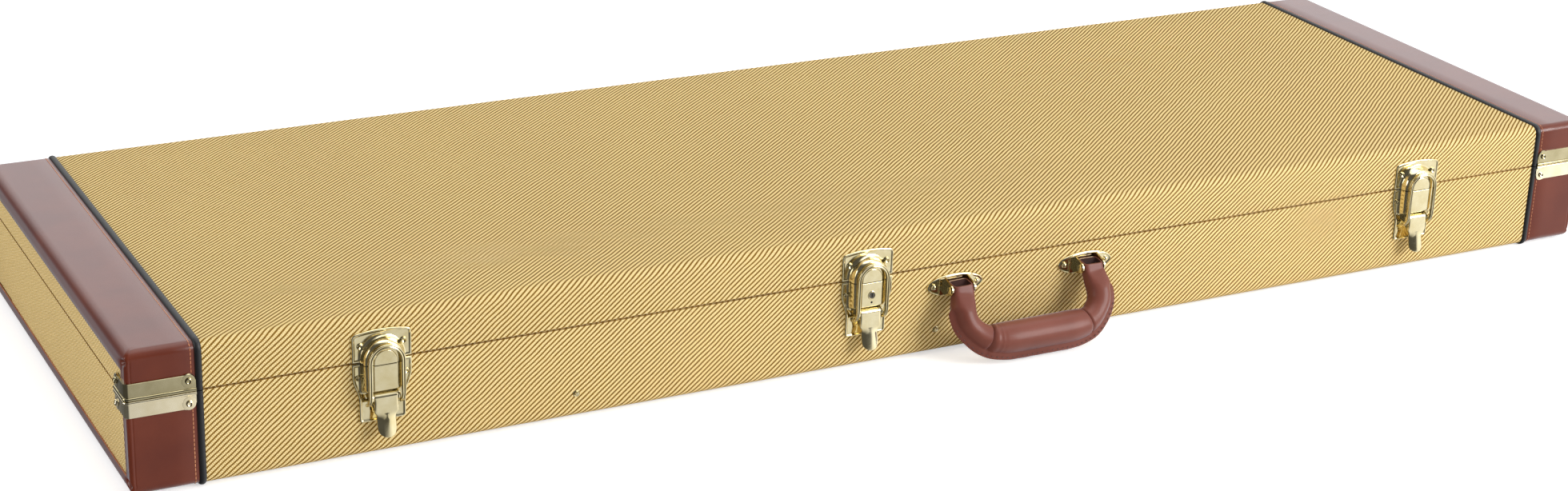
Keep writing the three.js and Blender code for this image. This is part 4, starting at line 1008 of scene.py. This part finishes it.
# Across the lever: a share of its half width, and of its side walls' depth
LEVER_ACROSS = np.array([-1, -1, -0.985, -0.93, -0.8, -0.6, -0.4, -0.2, 0,
                         0.2, 0.4, 0.6, 0.8, 0.93, 0.985, 1, 1])
LEVER_WALL = np.array([1, 0.2, 0.06, 0, 0, 0, 0, 0, 0, 0, 0, 0, 0, 0, 0.06, 0.2, 1])


def latch_lever(which):
    """The lever: a sheet rolled half round its pin, a channel whose side walls carry the loop, and
    a spoon-shaped tongue that flares out to a round tip. Along it run its middle line, its half
    width, its walls' depth and its hollow; across it, depth grows towards the edges. Its two
    skins, a sheet apart, are one closed ring at each place."""
    web_out, flare, lip, sheet = PIVOT_OUT + BARREL, 4.2, 0.8, 1.1
    web_end, tip = SEAM_UP - 34.0, SEAM_UP - 51.3
    tongue_half, round_from, thinnest = 6.6, 0.62, 0.0004
    wall_deep, hollow_deep = 5.6, 2.4
    roll = np.linspace(PI, 0, 9)
    down = np.linspace(0, 1, 9)[1:]
    spoon = np.linspace(0, 1, 25)[1:] ** 0.85
    out = np.concatenate([PIVOT_OUT + BARREL * np.cos(roll), np.full(len(down), web_out),
                          web_out + flare * (1.1 * spoon - 0.1 * spoon ** 2)])
    up = np.concatenate([PIVOT_UP + BARREL * np.sin(roll), PIVOT_UP + (web_end - PIVOT_UP) * down,
                         web_end + (tip - web_end) * spoon])
    tangent = unit(np.stack([np.gradient(out), np.gradient(up)], axis=1))
    face_out, face_up = -tangent[:, 1:], tangent[:, :1]
    rolled, channel = np.zeros(len(roll)), np.zeros(len(down))
    shoulder = np.clip(spoon / 0.12, 0, 1)
    past_round = np.clip(spoon - round_from, 0, 1) / (1 - round_from)
    round_end = np.sqrt(np.clip(1 - past_round ** 2, thinnest, 1))
    width = np.concatenate([rolled + BOSS_HALF, channel + BOSS_HALF,
                            (BOSS_HALF - (BOSS_HALF - tongue_half) * shoulder) * round_end])
    wall = lip + np.concatenate([rolled, wall_deep * (1 - down ** 3), np.zeros(len(spoon))])
    hollow = hollow_deep * smoothstep(spoon, 0.02, 0.3) * round_end ** 2
    hollow = np.concatenate([rolled, channel, hollow])
    depth = LEVER_WALL * wall[:, None] + hollow[:, None] * LEVER_ACROSS ** 2
    inner_depth = np.where(LEVER_WALL == 1, depth, depth + sheet)
    across = LEVER_ACROSS * width[:, None]
    inner_across = LEVER_ACROSS * np.maximum(width - sheet, 0.02)[:, None]
    skins = [np.stack([x, up[:, None] - face_up * d, out[:, None] - face_out * d], axis=2)
             for x, d in ((across, depth), (inner_across[:, ::-1], inner_depth[:, ::-1]))]
    rod_reach = BOSS_HALF - 0.3
    parts = [lofted(np.concatenate(skins, axis=1)),
             capped_rod(BARREL - 0.9, -rod_reach, rod_reach, PIVOT_OUT, PIVOT_UP)]
    front_piece("latch_lever_dress_" + which, parts, LATCH_X[which], "brass", "lever_" + which,
                "latch_lever_" + which, sharp=48)


def lever_pin(which):
    """The lever's pin, with a low head outside each ear."""
    head_length = 0.7
    reach = BOSS_HALF + LATCH_EAR_GAP + 2 * LATCH_EAR_HALF + PIN_PLAY + head_length
    part = capped_rod(1.0, -reach, reach, PIVOT_OUT, PIVOT_UP, head=(1.7, head_length))
    front_piece("lever_pin_dress_" + which, [part], LATCH_X[which], "brass", "base",
                "lever_pin_" + which)


def latch_loop(which):
    """The loop: a strip carried up one leg, round a half circle and down the other, whose feet
    curl back to the lever along quadratic curves. Its section is a superellipse with a bell-shaped
    groove in its outer face, and each leg has a waist."""
    half, strip, deep = 13.0, 2.9, 2.6
    square_share, groove_deep, groove_width = 0.55, 0.55, 0.42
    waist_share, waist_up, waist_reach = 0.22, 45.5, 1.6
    middle_out = BOSS_OUT + 0.3 + deep / 2
    radius = half - strip / 2
    leg_end = PIVOT_UP + BARREL + 0.4
    t = np.linspace(0, 1, 10)[:-1, None]
    start = np.array([[LOOP_PIVOT_OUT, LOOP_PIVOT_UP]])
    bend = np.array([[middle_out, LOOP_PIVOT_UP + BARREL]])
    stop = np.array([[middle_out, leg_end]])
    foot = (1 - t) ** 2 * start + 2 * t * (1 - t) * bend + t ** 2 * stop
    straight = np.column_stack([np.full(6, middle_out), np.linspace(leg_end, ARCH_CENTRE, 6)])
    leg = np.concatenate([foot, straight])
    left = np.column_stack([np.full(len(leg), -radius), leg[:, 1], leg[:, 0]])
    turn = np.linspace(PI, 0, 33)[1:-1]
    top = np.column_stack([radius * np.cos(turn), ARCH_CENTRE + radius * np.sin(turn),
                           np.full(len(turn), middle_out)])
    right = left[::-1] * [-1, 1, 1]
    path = np.concatenate([left, top, right])
    side = np.concatenate([
        np.tile([-1.0, 0, 0], (len(left), 1)),
        np.column_stack([np.cos(turn), np.sin(turn), np.zeros(len(turn))]),
        np.tile([1.0, 0, 0], (len(right), 1))])
    over = np.cross(unit(np.gradient(path, axis=0)), side)
    around = np.linspace(0, 2 * PI, 28, endpoint=False)
    across = strip / 2 * squared(np.cos(around), square_share)
    lift = deep / 2 * squared(np.sin(around), square_share)
    lift -= groove_deep * np.exp(-(across / groove_width) ** 2) * (np.sin(around) > 0)
    waist = 1 - waist_share * np.exp(-((path[:, 1:2] - waist_up) / waist_reach) ** 2)
    rings = (path[:, None] + (across * waist)[..., None] * side[:, None]
             + lift[None, :, None] * over[:, None])
    parts = [lofted(rings)]
    for hand in (-1, 1):
        ends = sorted((hand * (BOSS_HALF - 1.5), hand * half))
        parts.append(capped_rod(1.1, *ends, LOOP_PIVOT_OUT, LOOP_PIVOT_UP))
    front_piece("latch_loop_dress_" + which, parts, LATCH_X[which], "brass", "loop_" + which,
                "latch_loop_" + which, sharp=60)


# The carrying handle
HANDLE_X = span("handle").mean(axis=0)[0]
PIN_OUT = 10.5
PIN_UP = 52.0
PIN_SPAN = 112.0
BRACKET_EAR_GAP = 0.7
BRACKET_EAR_HALF = 0.7
HANDLE_TILT = 28.0
HANDLE_REACH = 42.0
HANDLE_BULGE = 2.6
# Half width and half depth at the handle's ends, in its legs and in its grip
HANDLE_END_HALF, HANDLE_LEG_HALF, HANDLE_GRIP_HALF = 7.9, 9.6, 12.6
HANDLE_END_DEEP, HANDLE_LEG_DEEP, HANDLE_GRIP_DEEP = 4.8, 9.4, 13.0
# The flange that the handle is sewn along
SEAM_PROUD = 2.8
SEAM_HALF = 1.5
# The sleeve round the grip stands up between these runs from the handle's middle
SLEEVE_LIFT = 0.4
SLEEVE_START, SLEEVE_END = (-42, -40.5), (42.4, 43.4)
# The creases where the sleeve ends, as (run from the handle's middle, depth, half width)
HANDLE_CREASES = ((43, 2.4, 0.85), (37.5, 0.5, 0.8), (34.5, 0.3, 0.8), (-41, 1.7, 0.85))
# Shares of the half span across, of the reach down and of the bulge
HANDLE_SHARES = np.array([
    [1, -0.1, 0], [1, 0.05, 0], [1, 0.24, 0.5], [1, 0.46, 1], [0.97, 0.68, 0.6], [0.82, 0.91, 0],
    [0.56, 0.99, 0], [0, 1, 0], [-0.56, 0.99, 0], [-0.82, 0.91, 0], [-0.97, 0.68, -0.6],
    [-1, 0.46, -1], [-1, 0.24, -0.5], [-1, 0.05, 0], [-1, -0.1, 0]])


def smooth_path(points, count):
    """A cubic curve through points, cut into even steps: each stretch blends the slopes that its
    neighbours set."""
    slope = np.gradient(points, axis=0)
    t = np.linspace(0, 1, 40, endpoint=False)[None, :, None]
    a, b = points[:-1, None], points[1:, None]
    m, n = slope[:-1, None], slope[1:, None]
    dense = ((2 * t ** 3 - 3 * t ** 2 + 1) * a + (t ** 3 - 2 * t ** 2 + t) * m
             + (3 * t ** 2 - 2 * t ** 3) * b + (t ** 3 - t ** 2) * n).reshape(-1, points.shape[1])
    dense = np.concatenate([dense, points[-1:]])
    run = runs(dense)
    return at_run(dense, run, np.linspace(0, run[-1], count))


def hung(points):
    """Turns points drawn hanging straight down, as (along, up, out), by the tilt about the pins to
    the handle's rest."""
    tilt = np.radians(HANDLE_TILT)
    along, up, out = np.moveaxis(points, -1, 0)
    return np.stack([
        HANDLE_X + along,
        FRONT - PIN_OUT + up * np.sin(tilt) - out * np.cos(tilt),
        BOTTOM + PIN_UP + up * np.cos(tilt) + out * np.sin(tilt)], axis=-1)


def handle_body():
    """The padded leather handle: a superellipse carried along a bent path, which swells from the
    ends to the grip, with a sewn flange on its outer side and bell-shaped creases where the sleeve
    ends. Each end is a strap folded round the pin, open on top, so that one looks into its fold.
    Gives what the stitching follows: the path, the way outwards and the plain half width."""
    path = HANDLE_SHARES[:, :2] * [PIN_SPAN / 2, -HANDLE_REACH]
    path[:, 0] += HANDLE_BULGE * HANDLE_SHARES[:, 2]
    count = 161
    at = smooth_path(path, count)
    tangent = unit(np.gradient(at, axis=0))
    outward = np.stack([-tangent[:, 1], tangent[:, 0]], axis=1)
    share = np.linspace(0, 1, count)
    near_end = np.minimum(share, 1 - share) * 2
    leg = smoothstep(near_end, 0.06, 0.26)
    grip = smoothstep(near_end, 0.38, 0.75)
    wide = HANDLE_END_HALF + (HANDLE_LEG_HALF - HANDLE_END_HALF) * leg
    wide += (HANDLE_GRIP_HALF - wide) * grip
    deep = HANDLE_END_DEEP + (HANDLE_LEG_DEEP - HANDLE_END_DEEP) * leg
    deep += (HANDLE_GRIP_DEEP - deep) * grip
    plain = wide
    run = (share - 0.5) * runs(at)[-1]
    for place, depth, width in HANDLE_CREASES:
        crease = 1 - depth / HANDLE_GRIP_DEEP * np.exp(-((run - place) / width) ** 2)
        wide, deep = wide * crease, deep * crease
    sleeve = SLEEVE_LIFT * smoothstep(run, *SLEEVE_START) * (1 - smoothstep(run, *SLEEVE_END))
    wide, deep = wide + sleeve, deep + sleeve
    # The section is boxy at the ends and round in the grip, with points closer at the flange
    turn = np.linspace(0, 2 * PI, 64, endpoint=False)
    turn = turn - 0.25 * np.sin(turn)
    round_share = (0.35 + 0.57 * leg)[:, None]
    across, out = squared(np.cos(turn), round_share), squared(np.sin(turn), round_share)
    flange = np.exp(-(turn_from_zero(turn) / 0.125) ** 4)
    has_flange = smoothstep(near_end, 0.2, 0.24)
    flange_reach = SEAM_PROUD * has_flange
    # The outer side is drawn in a little towards the flange, whose edge waves as sewn leather does
    drawn_in = 2.2 * has_flange[:, None] * smoothstep(across, 0, 0.9)
    edge_wave = 0.05 * np.sin(run / 1.9)[:, None] * flange * (flange_reach > 1)[:, None]
    reach = wide[:, None] * across - drawn_in + (flange_reach + plain - wide)[:, None] * flange
    reach += drawn_in * flange + edge_wave
    lift = deep[:, None] * out
    in_flange = (flange > 0.3) & (flange_reach > 0.2)[:, None]
    lift = np.where(in_flange, np.clip(lift, -SEAM_HALF, SEAM_HALF), lift)
    slant = 0.65 * (1 - smoothstep(near_end, 0, 0.12))[:, None] * lift
    rings = np.stack([at[:, :1] + reach * outward[:, :1],
                      at[:, 1:] + reach * outward[:, 1:] - slant, lift], axis=2)
    strap, fold_depth = 0.9, 6.5
    fold_shares = 1 - strap / np.array([HANDLE_END_HALF, HANDLE_END_DEEP, HANDLE_END_DEEP])
    folds = []
    for i in (0, -1):
        centre = np.append(at[i], 0)
        rim = centre + (rings[i] - centre) * fold_shares
        folds.append([rim, rim - [0, fold_depth, 0]])
    points, quads = lofted(hung(np.concatenate([folds[0][::-1], rings, folds[1]])))
    fold_quads = 2 * len(turn)
    in_fold = np.r_[0:fold_quads, len(quads) - fold_quads:len(quads)]
    # The faces inside each end's fold take the near-black painted shade
    parts = [(points, np.delete(quads, in_fold, axis=0)), (points, quads[in_fold])]
    make_piece("leather_handle", parts, "handle_leather", "handle", ["handle"], sharp=50,
               looks=["handle_leather", "strap_fold_shade"])
    return at, outward, plain


def turn_from_zero(turn):
    """An angle brought to within half a turn of zero."""
    return (turn + PI) % (2 * PI) - PI


def handle_stitching(at, outward, wide):
    """The handle's seam: stitches on both faces of the flange at an even pitch."""
    seam_out, pitch, length, thread_lift, bare_steps = 1.2, 4.2, 2.4, 1.55, 25
    seam = lifted(at + outward * (wide + seam_out)[:, None], 0.0)
    place, along = along_path(seam[bare_steps:-bare_steps], pitch)
    parts = []
    for face in (-1, 1):
        over = np.tile([0.0, 0.0, face], (len(place), 1))
        points, faces = stitch_row(place + thread_lift * over, along, over, length, STITCH_RADIUS)
        parts.append((hung(points), faces))
    make_piece("handle_stitching", parts, "dark_thread", "handle", slot="handle_leather")


def pinned_at(end):
    """The place along the case where an end of the handle is pinned."""
    return HANDLE_X + ENDS[end] * PIN_SPAN / 2


def handle_bracket(end):
    """A handle bracket: an oval sheet with a beaded rim, two folded ears that carry the pin, and
    two domed rivets."""
    oval_rows = ((0, 0), (0.1, 0.9), (0.6, 1.5), (1.2, 1.75), (1.8, 1.5), (2.2, 1.25), (3.0, 1.3))
    flat_out, tab_side, rivet_side = 1.3, 11.6, 18.0
    ear = ear_profile((PIN_OUT, 0), 0.7, 7.3, 4.0, 15)
    ear = pressed(ear, ((0, -BRACKET_EAR_HALF), (0, 0.45), (0.3, BRACKET_EAR_HALF)))
    tab = pressed(soft_polygon(rectangle(2.6, -6.6, 6.6), 1.0, 3), ((0, 1.0), (0, 2.3), (0.4, 2.7)))
    parts = [pressed(ellipse(23.5, 8.75), oval_rows)]
    for hand in (-1, 1):
        parts.append(sideways(ear, hand * (HANDLE_END_HALF + BRACKET_EAR_GAP + BRACKET_EAR_HALF)))
        parts.append(moved(tab, (hand * tab_side, 0, 0)))
        parts.append(domed_rivet(hand * rivet_side, 0, flat_out))
    front_piece("handle_bracket_dress_" + end, [moved(part, (0, PIN_UP, 0)) for part in parts],
                pinned_at(end), "brass", "base", "handle_bracket_" + end, sharp=45)


def handle_pin(end):
    """The pin that a handle's end hangs on, with a low head outside each ear."""
    head_length = 0.9
    reach = HANDLE_END_HALF + BRACKET_EAR_GAP + 2 * BRACKET_EAR_HALF + PIN_PLAY + head_length
    part = capped_rod(1.9, -reach, reach, PIN_OUT, PIN_UP, 20, head=(2.9, head_length))
    front_piece("handle_pin_dress_" + end, [part], pinned_at(end), "brass", "base",
                "handle_pin_" + end)


def rear_hinge(which):
    """A butt hinge on the rear: two leaves with rounded corners and slotted screws, whose
    knuckles take turns on one pin."""
    x = span("hinge_pin_" + which).mean(axis=0)[0]
    half, leaf, sheet, knuckle, corner = 22.5, 22.0, 1.5, 3.3, 3
    out = knuckle + 0.3
    knuckles, play = 5, 0.15
    screw_place = 14.0
    screw = [(0, -0.5), (3.2, -0.5), (3.2, 0.1), (2.6, 0.5), (1.4, 0.8), (0, 0.9)]
    slot = soft_polygon(rectangle(2.2, -0.35, 0.35), 0.25, 2)
    for side in SIDES:
        up = 1 if side == "lid" else -1
        near, far = SEAM_UP + up * 1.8, SEAM_UP + up * leaf
        outline = soft_polygon(rectangle(half, near, far)[::up], [0, 0, corner, corner][::up])
        parts = [pressed(outline, ((0, 0), (0, 1.1), (0.4, sheet)))]
        pitch = 2 * half / knuckles
        for i in range(0 if side == "base" else 1, knuckles, 2):
            start = i * pitch - half
            parts.append(capped_rod(knuckle, start + play, start + pitch - play, out, SEAM_UP, 24))
        places = [(hand * screw_place, SEAM_UP + up * screw_place, sheet) for hand in (-1, 1)]
        parts += [turned(screw, place) for place in places]
        looks = ["brass"] * len(parts) + ["recess"] * len(places)
        parts += [moved(pressed(slot, ((0, 0.3), (0, 0.95))), place) for place in places]
        make_piece(f"hinge_{side}_leaf_dress_{which}", [on_rear(part, x) for part in parts], "brass",
                   side, [f"hinge_{side}_leaf_{which}"], looks=looks)
    pin = capped_rod(1.3, -half, half, out, SEAM_UP)
    make_piece("hinge_pin_dress_" + which, [on_rear(pin, x)], "steel", "base",
               ["hinge_pin_" + which], slot="brass")


def face_place(node):
    """A node's middle, along the case and up from the box's bottom."""
    x, _, z = span(node).mean(axis=0)
    return x, z - BOTTOM


def rubber_foot(side, end):
    """A turned rubber foot with a dished face round a screw."""
    x, up = face_place(f"{side}_foot_{end}")
    body = [(0, 0), (8, 0), (8, 3.6), (7.7, 5.4), (7.0, 8.2), (6.3, 9), (4.4, 9), (3.6, 8.4),
            (3.3, 6.9), (0, 6.9)]
    screw = [(0, 6.5), (2.6, 6.5), (2.6, 7.1), (1.5, 7.6), (0, 7.7)]
    parts = [on_rear(turned(shape, (0, up, 0), 32), x) for shape in (body, screw)]
    make_piece(f"{side}_rubber_foot_{end}", parts, "foot_rubber", side, [f"{side}_foot_{end}"],
               looks=["foot_rubber", "steel"])


def partition_nail(end):
    """A round-headed nail on a cup washer, with a small hollow in its head."""
    x, up = face_place("partition_stud_" + end)
    washer = [(0, 0), (2.5, 0), (2.5, 0.35), (2.1, 0.75), (1.75, 0.6), (0, 0.5)]
    head = [(0, 0.4), (1.6, 0.4), (1.6, 0.8), (1.25, 1.35), (0.75, 1.5), (0.5, 1.1), (0, 1.0)]
    front_piece("partition_nail_" + end, [turned(shape, (0, up, 0)) for shape in (washer, head)], x,
                "brass", "base", "partition_stud_" + end)


for half in SIDES:
    for which_end in ENDS:
        for box_face in ("front", "rear"):
            corner_clamp(half, box_face, which_end)
        rubber_foot(half, which_end)
for which_latch in LATCHES:
    latch_keeper(which_latch)
    latch_plate(which_latch)
    latch_lever(which_latch)
    lever_pin(which_latch)
    latch_loop(which_latch)
    rear_hinge(which_latch)
lock_barrel()
handle_stitching(*handle_body())
for which_end in ENDS:
    handle_bracket(which_end)
    handle_pin(which_end)
    partition_nail(which_end)


def plush_copy(node, name, body, voxel_mm, relaxings, swell_mm=0.0, pressure=0.0):
    """A plush-covered foam piece in the place of a plain solid: a copy of it in even quads, whose
    edges roll over as its points relax towards their neighbours, and whose faces rise and sink
    softly along their normals, as two crossing sine waves, where the cover is stretched. All of
    its faces may be swelled or drawn in evenly, and then be blown up by a pressure."""
    piece = bpy.data.objects.new(name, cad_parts[node].data.copy())
    bpy.context.collection.objects.link(piece)
    work = bmesh.new()
    work.from_mesh(piece.data)
    bmesh.ops.remove_doubles(work, verts=work.verts, dist=1e-5)
    work.to_mesh(piece.data)
    work.free()
    even = piece.modifiers.new("even_quads", "REMESH")
    even.mode = "VOXEL"
    even.voxel_size = voxel_mm * MM
    relax = piece.modifiers.new("relax", "SMOOTH")
    relax.factor = 0.5
    relax.iterations = relaxings
    set_result(piece)
    mesh = piece.data
    place = point_data(mesh, "co").reshape(-1, 3)
    normal = point_data(mesh, "normal").reshape(-1, 3)
    x, y, z = place.T / MM
    # Waves some centimetres long, each of which bends the other
    wave_height = 0.35
    wave = np.sin(x / 31 + 0.9 * np.sin(y / 43)) * np.sin(y / 27 + 0.7 * np.sin(x / 51) + z / 19)
    place += normal * (wave_height * wave + swell_mm)[:, None] * MM
    mesh.vertices.foreach_set("co", place.ravel())
    mesh.materials.clear()
    mesh.materials.append(MATERIALS["plush"])
    mesh.shade_smooth()
    if pressure:
        inflate(piece, pressure, 20, 3.0)
    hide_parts(node)
    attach(piece, body)


def set_result(piece):
    """Puts what the modifiers make in the place of the piece's mesh, and drops the modifiers."""
    graph = bpy.context.evaluated_depsgraph_get()
    result = bpy.data.meshes.new_from_object(piece.evaluated_get(graph))
    piece.modifiers.clear()
    piece.data = result


def inflate(piece, pressure, frames, cap_mm):
    """Blows the cover up like a stuffed cushion: a cloth under pressure without gravity. No point
    may end further than a cap from where it began."""
    start = point_data(piece.data, "co")
    cloth = piece.modifiers.new("cover", "CLOTH")
    cloth.settings.use_pressure = True
    cloth.settings.uniform_pressure_force = pressure
    cloth.settings.effector_weights.gravity = 0
    for frame_number in range(1, frames + 1):
        bpy.context.scene.frame_set(frame_number)
    set_result(piece)
    bpy.context.scene.frame_set(1)
    move = (point_data(piece.data, "co") - start).reshape(-1, 3)
    length = np.maximum(np.linalg.norm(move, axis=1, keepdims=True), 1e-9)
    move *= np.minimum(1, cap_mm * MM / length)
    piece.data.vertices.foreach_set("co", start + move.ravel())


plush_copy("base_lining", "base_plush_lining", "base", 4.5, 6)
plush_copy("lid_lining", "lid_plush_lining", "lid", 4.5, 6)
plush_copy("accessory_tray", "plush_accessory_tray", "base", 2.5, 3)
plush_copy("neck_cradle", "plush_neck_cradle", "base", 3.0, 4, swell_mm=-1.2, pressure=4.0)

# The view, as a camera with its own lens
CAMERA_PLACE = (-1005.37, -1818.79, 838.53 + BOTTOM)
CAMERA_TURN = (68.3126, -1.9602, -27.3637)
LENS_MM = 65.349


def mirrored_room(tree, bright_way, dim_at, white_at):
    """How bright the room is to a mirror: it rises from dim to more than white as the mirrored ray
    turns to the bright way."""
    back = add_node(tree, "ShaderNodeNewGeometry").outputs["Incoming"]
    lean = add_node(tree, "ShaderNodeVectorMath", {"operation": "DOT_PRODUCT"},
                    {0: back, 1: tuple(-way for way in bright_way)})
    return add_node(tree, "ShaderNodeMapRange", inputs={
        "Value": lean.outputs["Value"], "From Min": dim_at, "From Max": white_at,
        "To Min": 0.1, "To Max": 1.4}).outputs[0]


def seen_plainly(tree, path):
    """1 for rays from the camera, straight or through glass, and 0 for others."""
    return add_node(tree, "ShaderNodeMath", {"operation": "MAXIMUM"}, {
        0: path.outputs["Is Camera Ray"], 1: path.outputs["Is Transmission Ray"]}).outputs[0]


def white_floor():
    """A pale floor that keeps the case's shadow, and glows enough to be white to the camera."""
    material, tree, output = new_material("white_floor")
    path = add_node(tree, "ShaderNodeLightPath")
    paint = add_node(tree, "ShaderNodeBsdfDiffuse", inputs={"Color": linear("EDEDED")})
    glow, mirrored = [
        add_node(tree, "ShaderNodeEmission", inputs={"Color": linear("FFFFFF"), "Strength": strength})
        for strength in (0.55, mirrored_room(tree, (1, 0, 0), -0.3, 0.8))]
    glowing = add_node(tree, "ShaderNodeAddShader", inputs={0: paint.outputs[0], 1: glow.outputs[0]})
    lit = add_node(tree, "ShaderNodeMixShader", inputs={
        "Fac": seen_plainly(tree, path), 1: paint.outputs[0], 2: glowing.outputs[0]})
    lit = add_node(tree, "ShaderNodeMixShader", inputs={
        "Fac": path.outputs["Is Glossy Ray"], 1: lit.outputs[0], 2: mirrored.outputs[0]})
    finish_material(tree, output, lit)
    reach = 9.0
    corners = rectangle(reach, -reach, reach)
    mesh = bpy.data.meshes.new("floor")
    mesh.from_pydata([(*corner, 0) for corner in corners], [], [range(len(corners))])
    mesh.materials.append(material)
    floor = bpy.data.objects.new("floor", mesh)
    bpy.context.collection.objects.link(floor)


def white_room():
    """An even white room: white to the camera, dimmer as a light, and uneven in a mirror."""
    world = bpy.data.worlds.new("white_room")
    bpy.context.scene.world = world
    world.use_nodes = True
    tree = world.node_tree
    tree.nodes.clear()
    path = add_node(tree, "ShaderNodeLightPath")
    strength = add_node(tree, "ShaderNodeMapRange", inputs={
        "Value": seen_plainly(tree, path), "To Min": 0.55, "To Max": 1.0})
    strength = add_node(tree, "ShaderNodeMix", {"data_type": "FLOAT"}, {
        0: path.outputs["Is Glossy Ray"], 2: strength.outputs[0],
        3: mirrored_room(tree, (1.4, 0.7, 0.6), 0.0, 0.7)})
    sky = add_node(tree, "ShaderNodeBackground", inputs={
        "Color": linear("FFFFFF"), "Strength": strength.outputs[0]})
    room = add_node(tree, "ShaderNodeOutputWorld")
    tree.links.new(sky.outputs[0], room.inputs["Surface"])


def lamps():
    """A low key lamp from the right of the front, and two soft fills, all turned to the case."""
    for name, place, size, watts in (
        ("key_lamp", (1.9, -2.4, 1.3), 1.4, 75),
        ("top_fill_lamp", (0.6, 0.4, 3.2), 2.6, 24),
        ("left_fill_lamp", (-3.0, 0.3, 0.9), 1.6, 27),
    ):
        lamp = bpy.data.lights.new(name, "AREA")
        lamp.size = size
        lamp.energy = watts
        holder = bpy.data.objects.new(name, lamp)
        holder.location = place
        holder.rotation_euler = (-Vector(place)).to_track_quat("-Z", "Y").to_euler()
        bpy.context.collection.objects.link(holder)


def front_view():
    """The camera, over the case's left front corner."""
    lens = bpy.data.cameras.new("view")
    lens.sensor_width = 36
    lens.lens = LENS_MM
    camera = bpy.data.objects.new("view", lens)
    camera.location = Vector(CAMERA_PLACE) * MM
    camera.rotation_euler = Euler(np.radians(CAMERA_TURN))
    bpy.context.collection.objects.link(camera)
    bpy.context.scene.camera = camera
    bpy.context.scene.view_settings.view_transform = "Standard"


white_floor()
white_room()
lamps()
front_view()
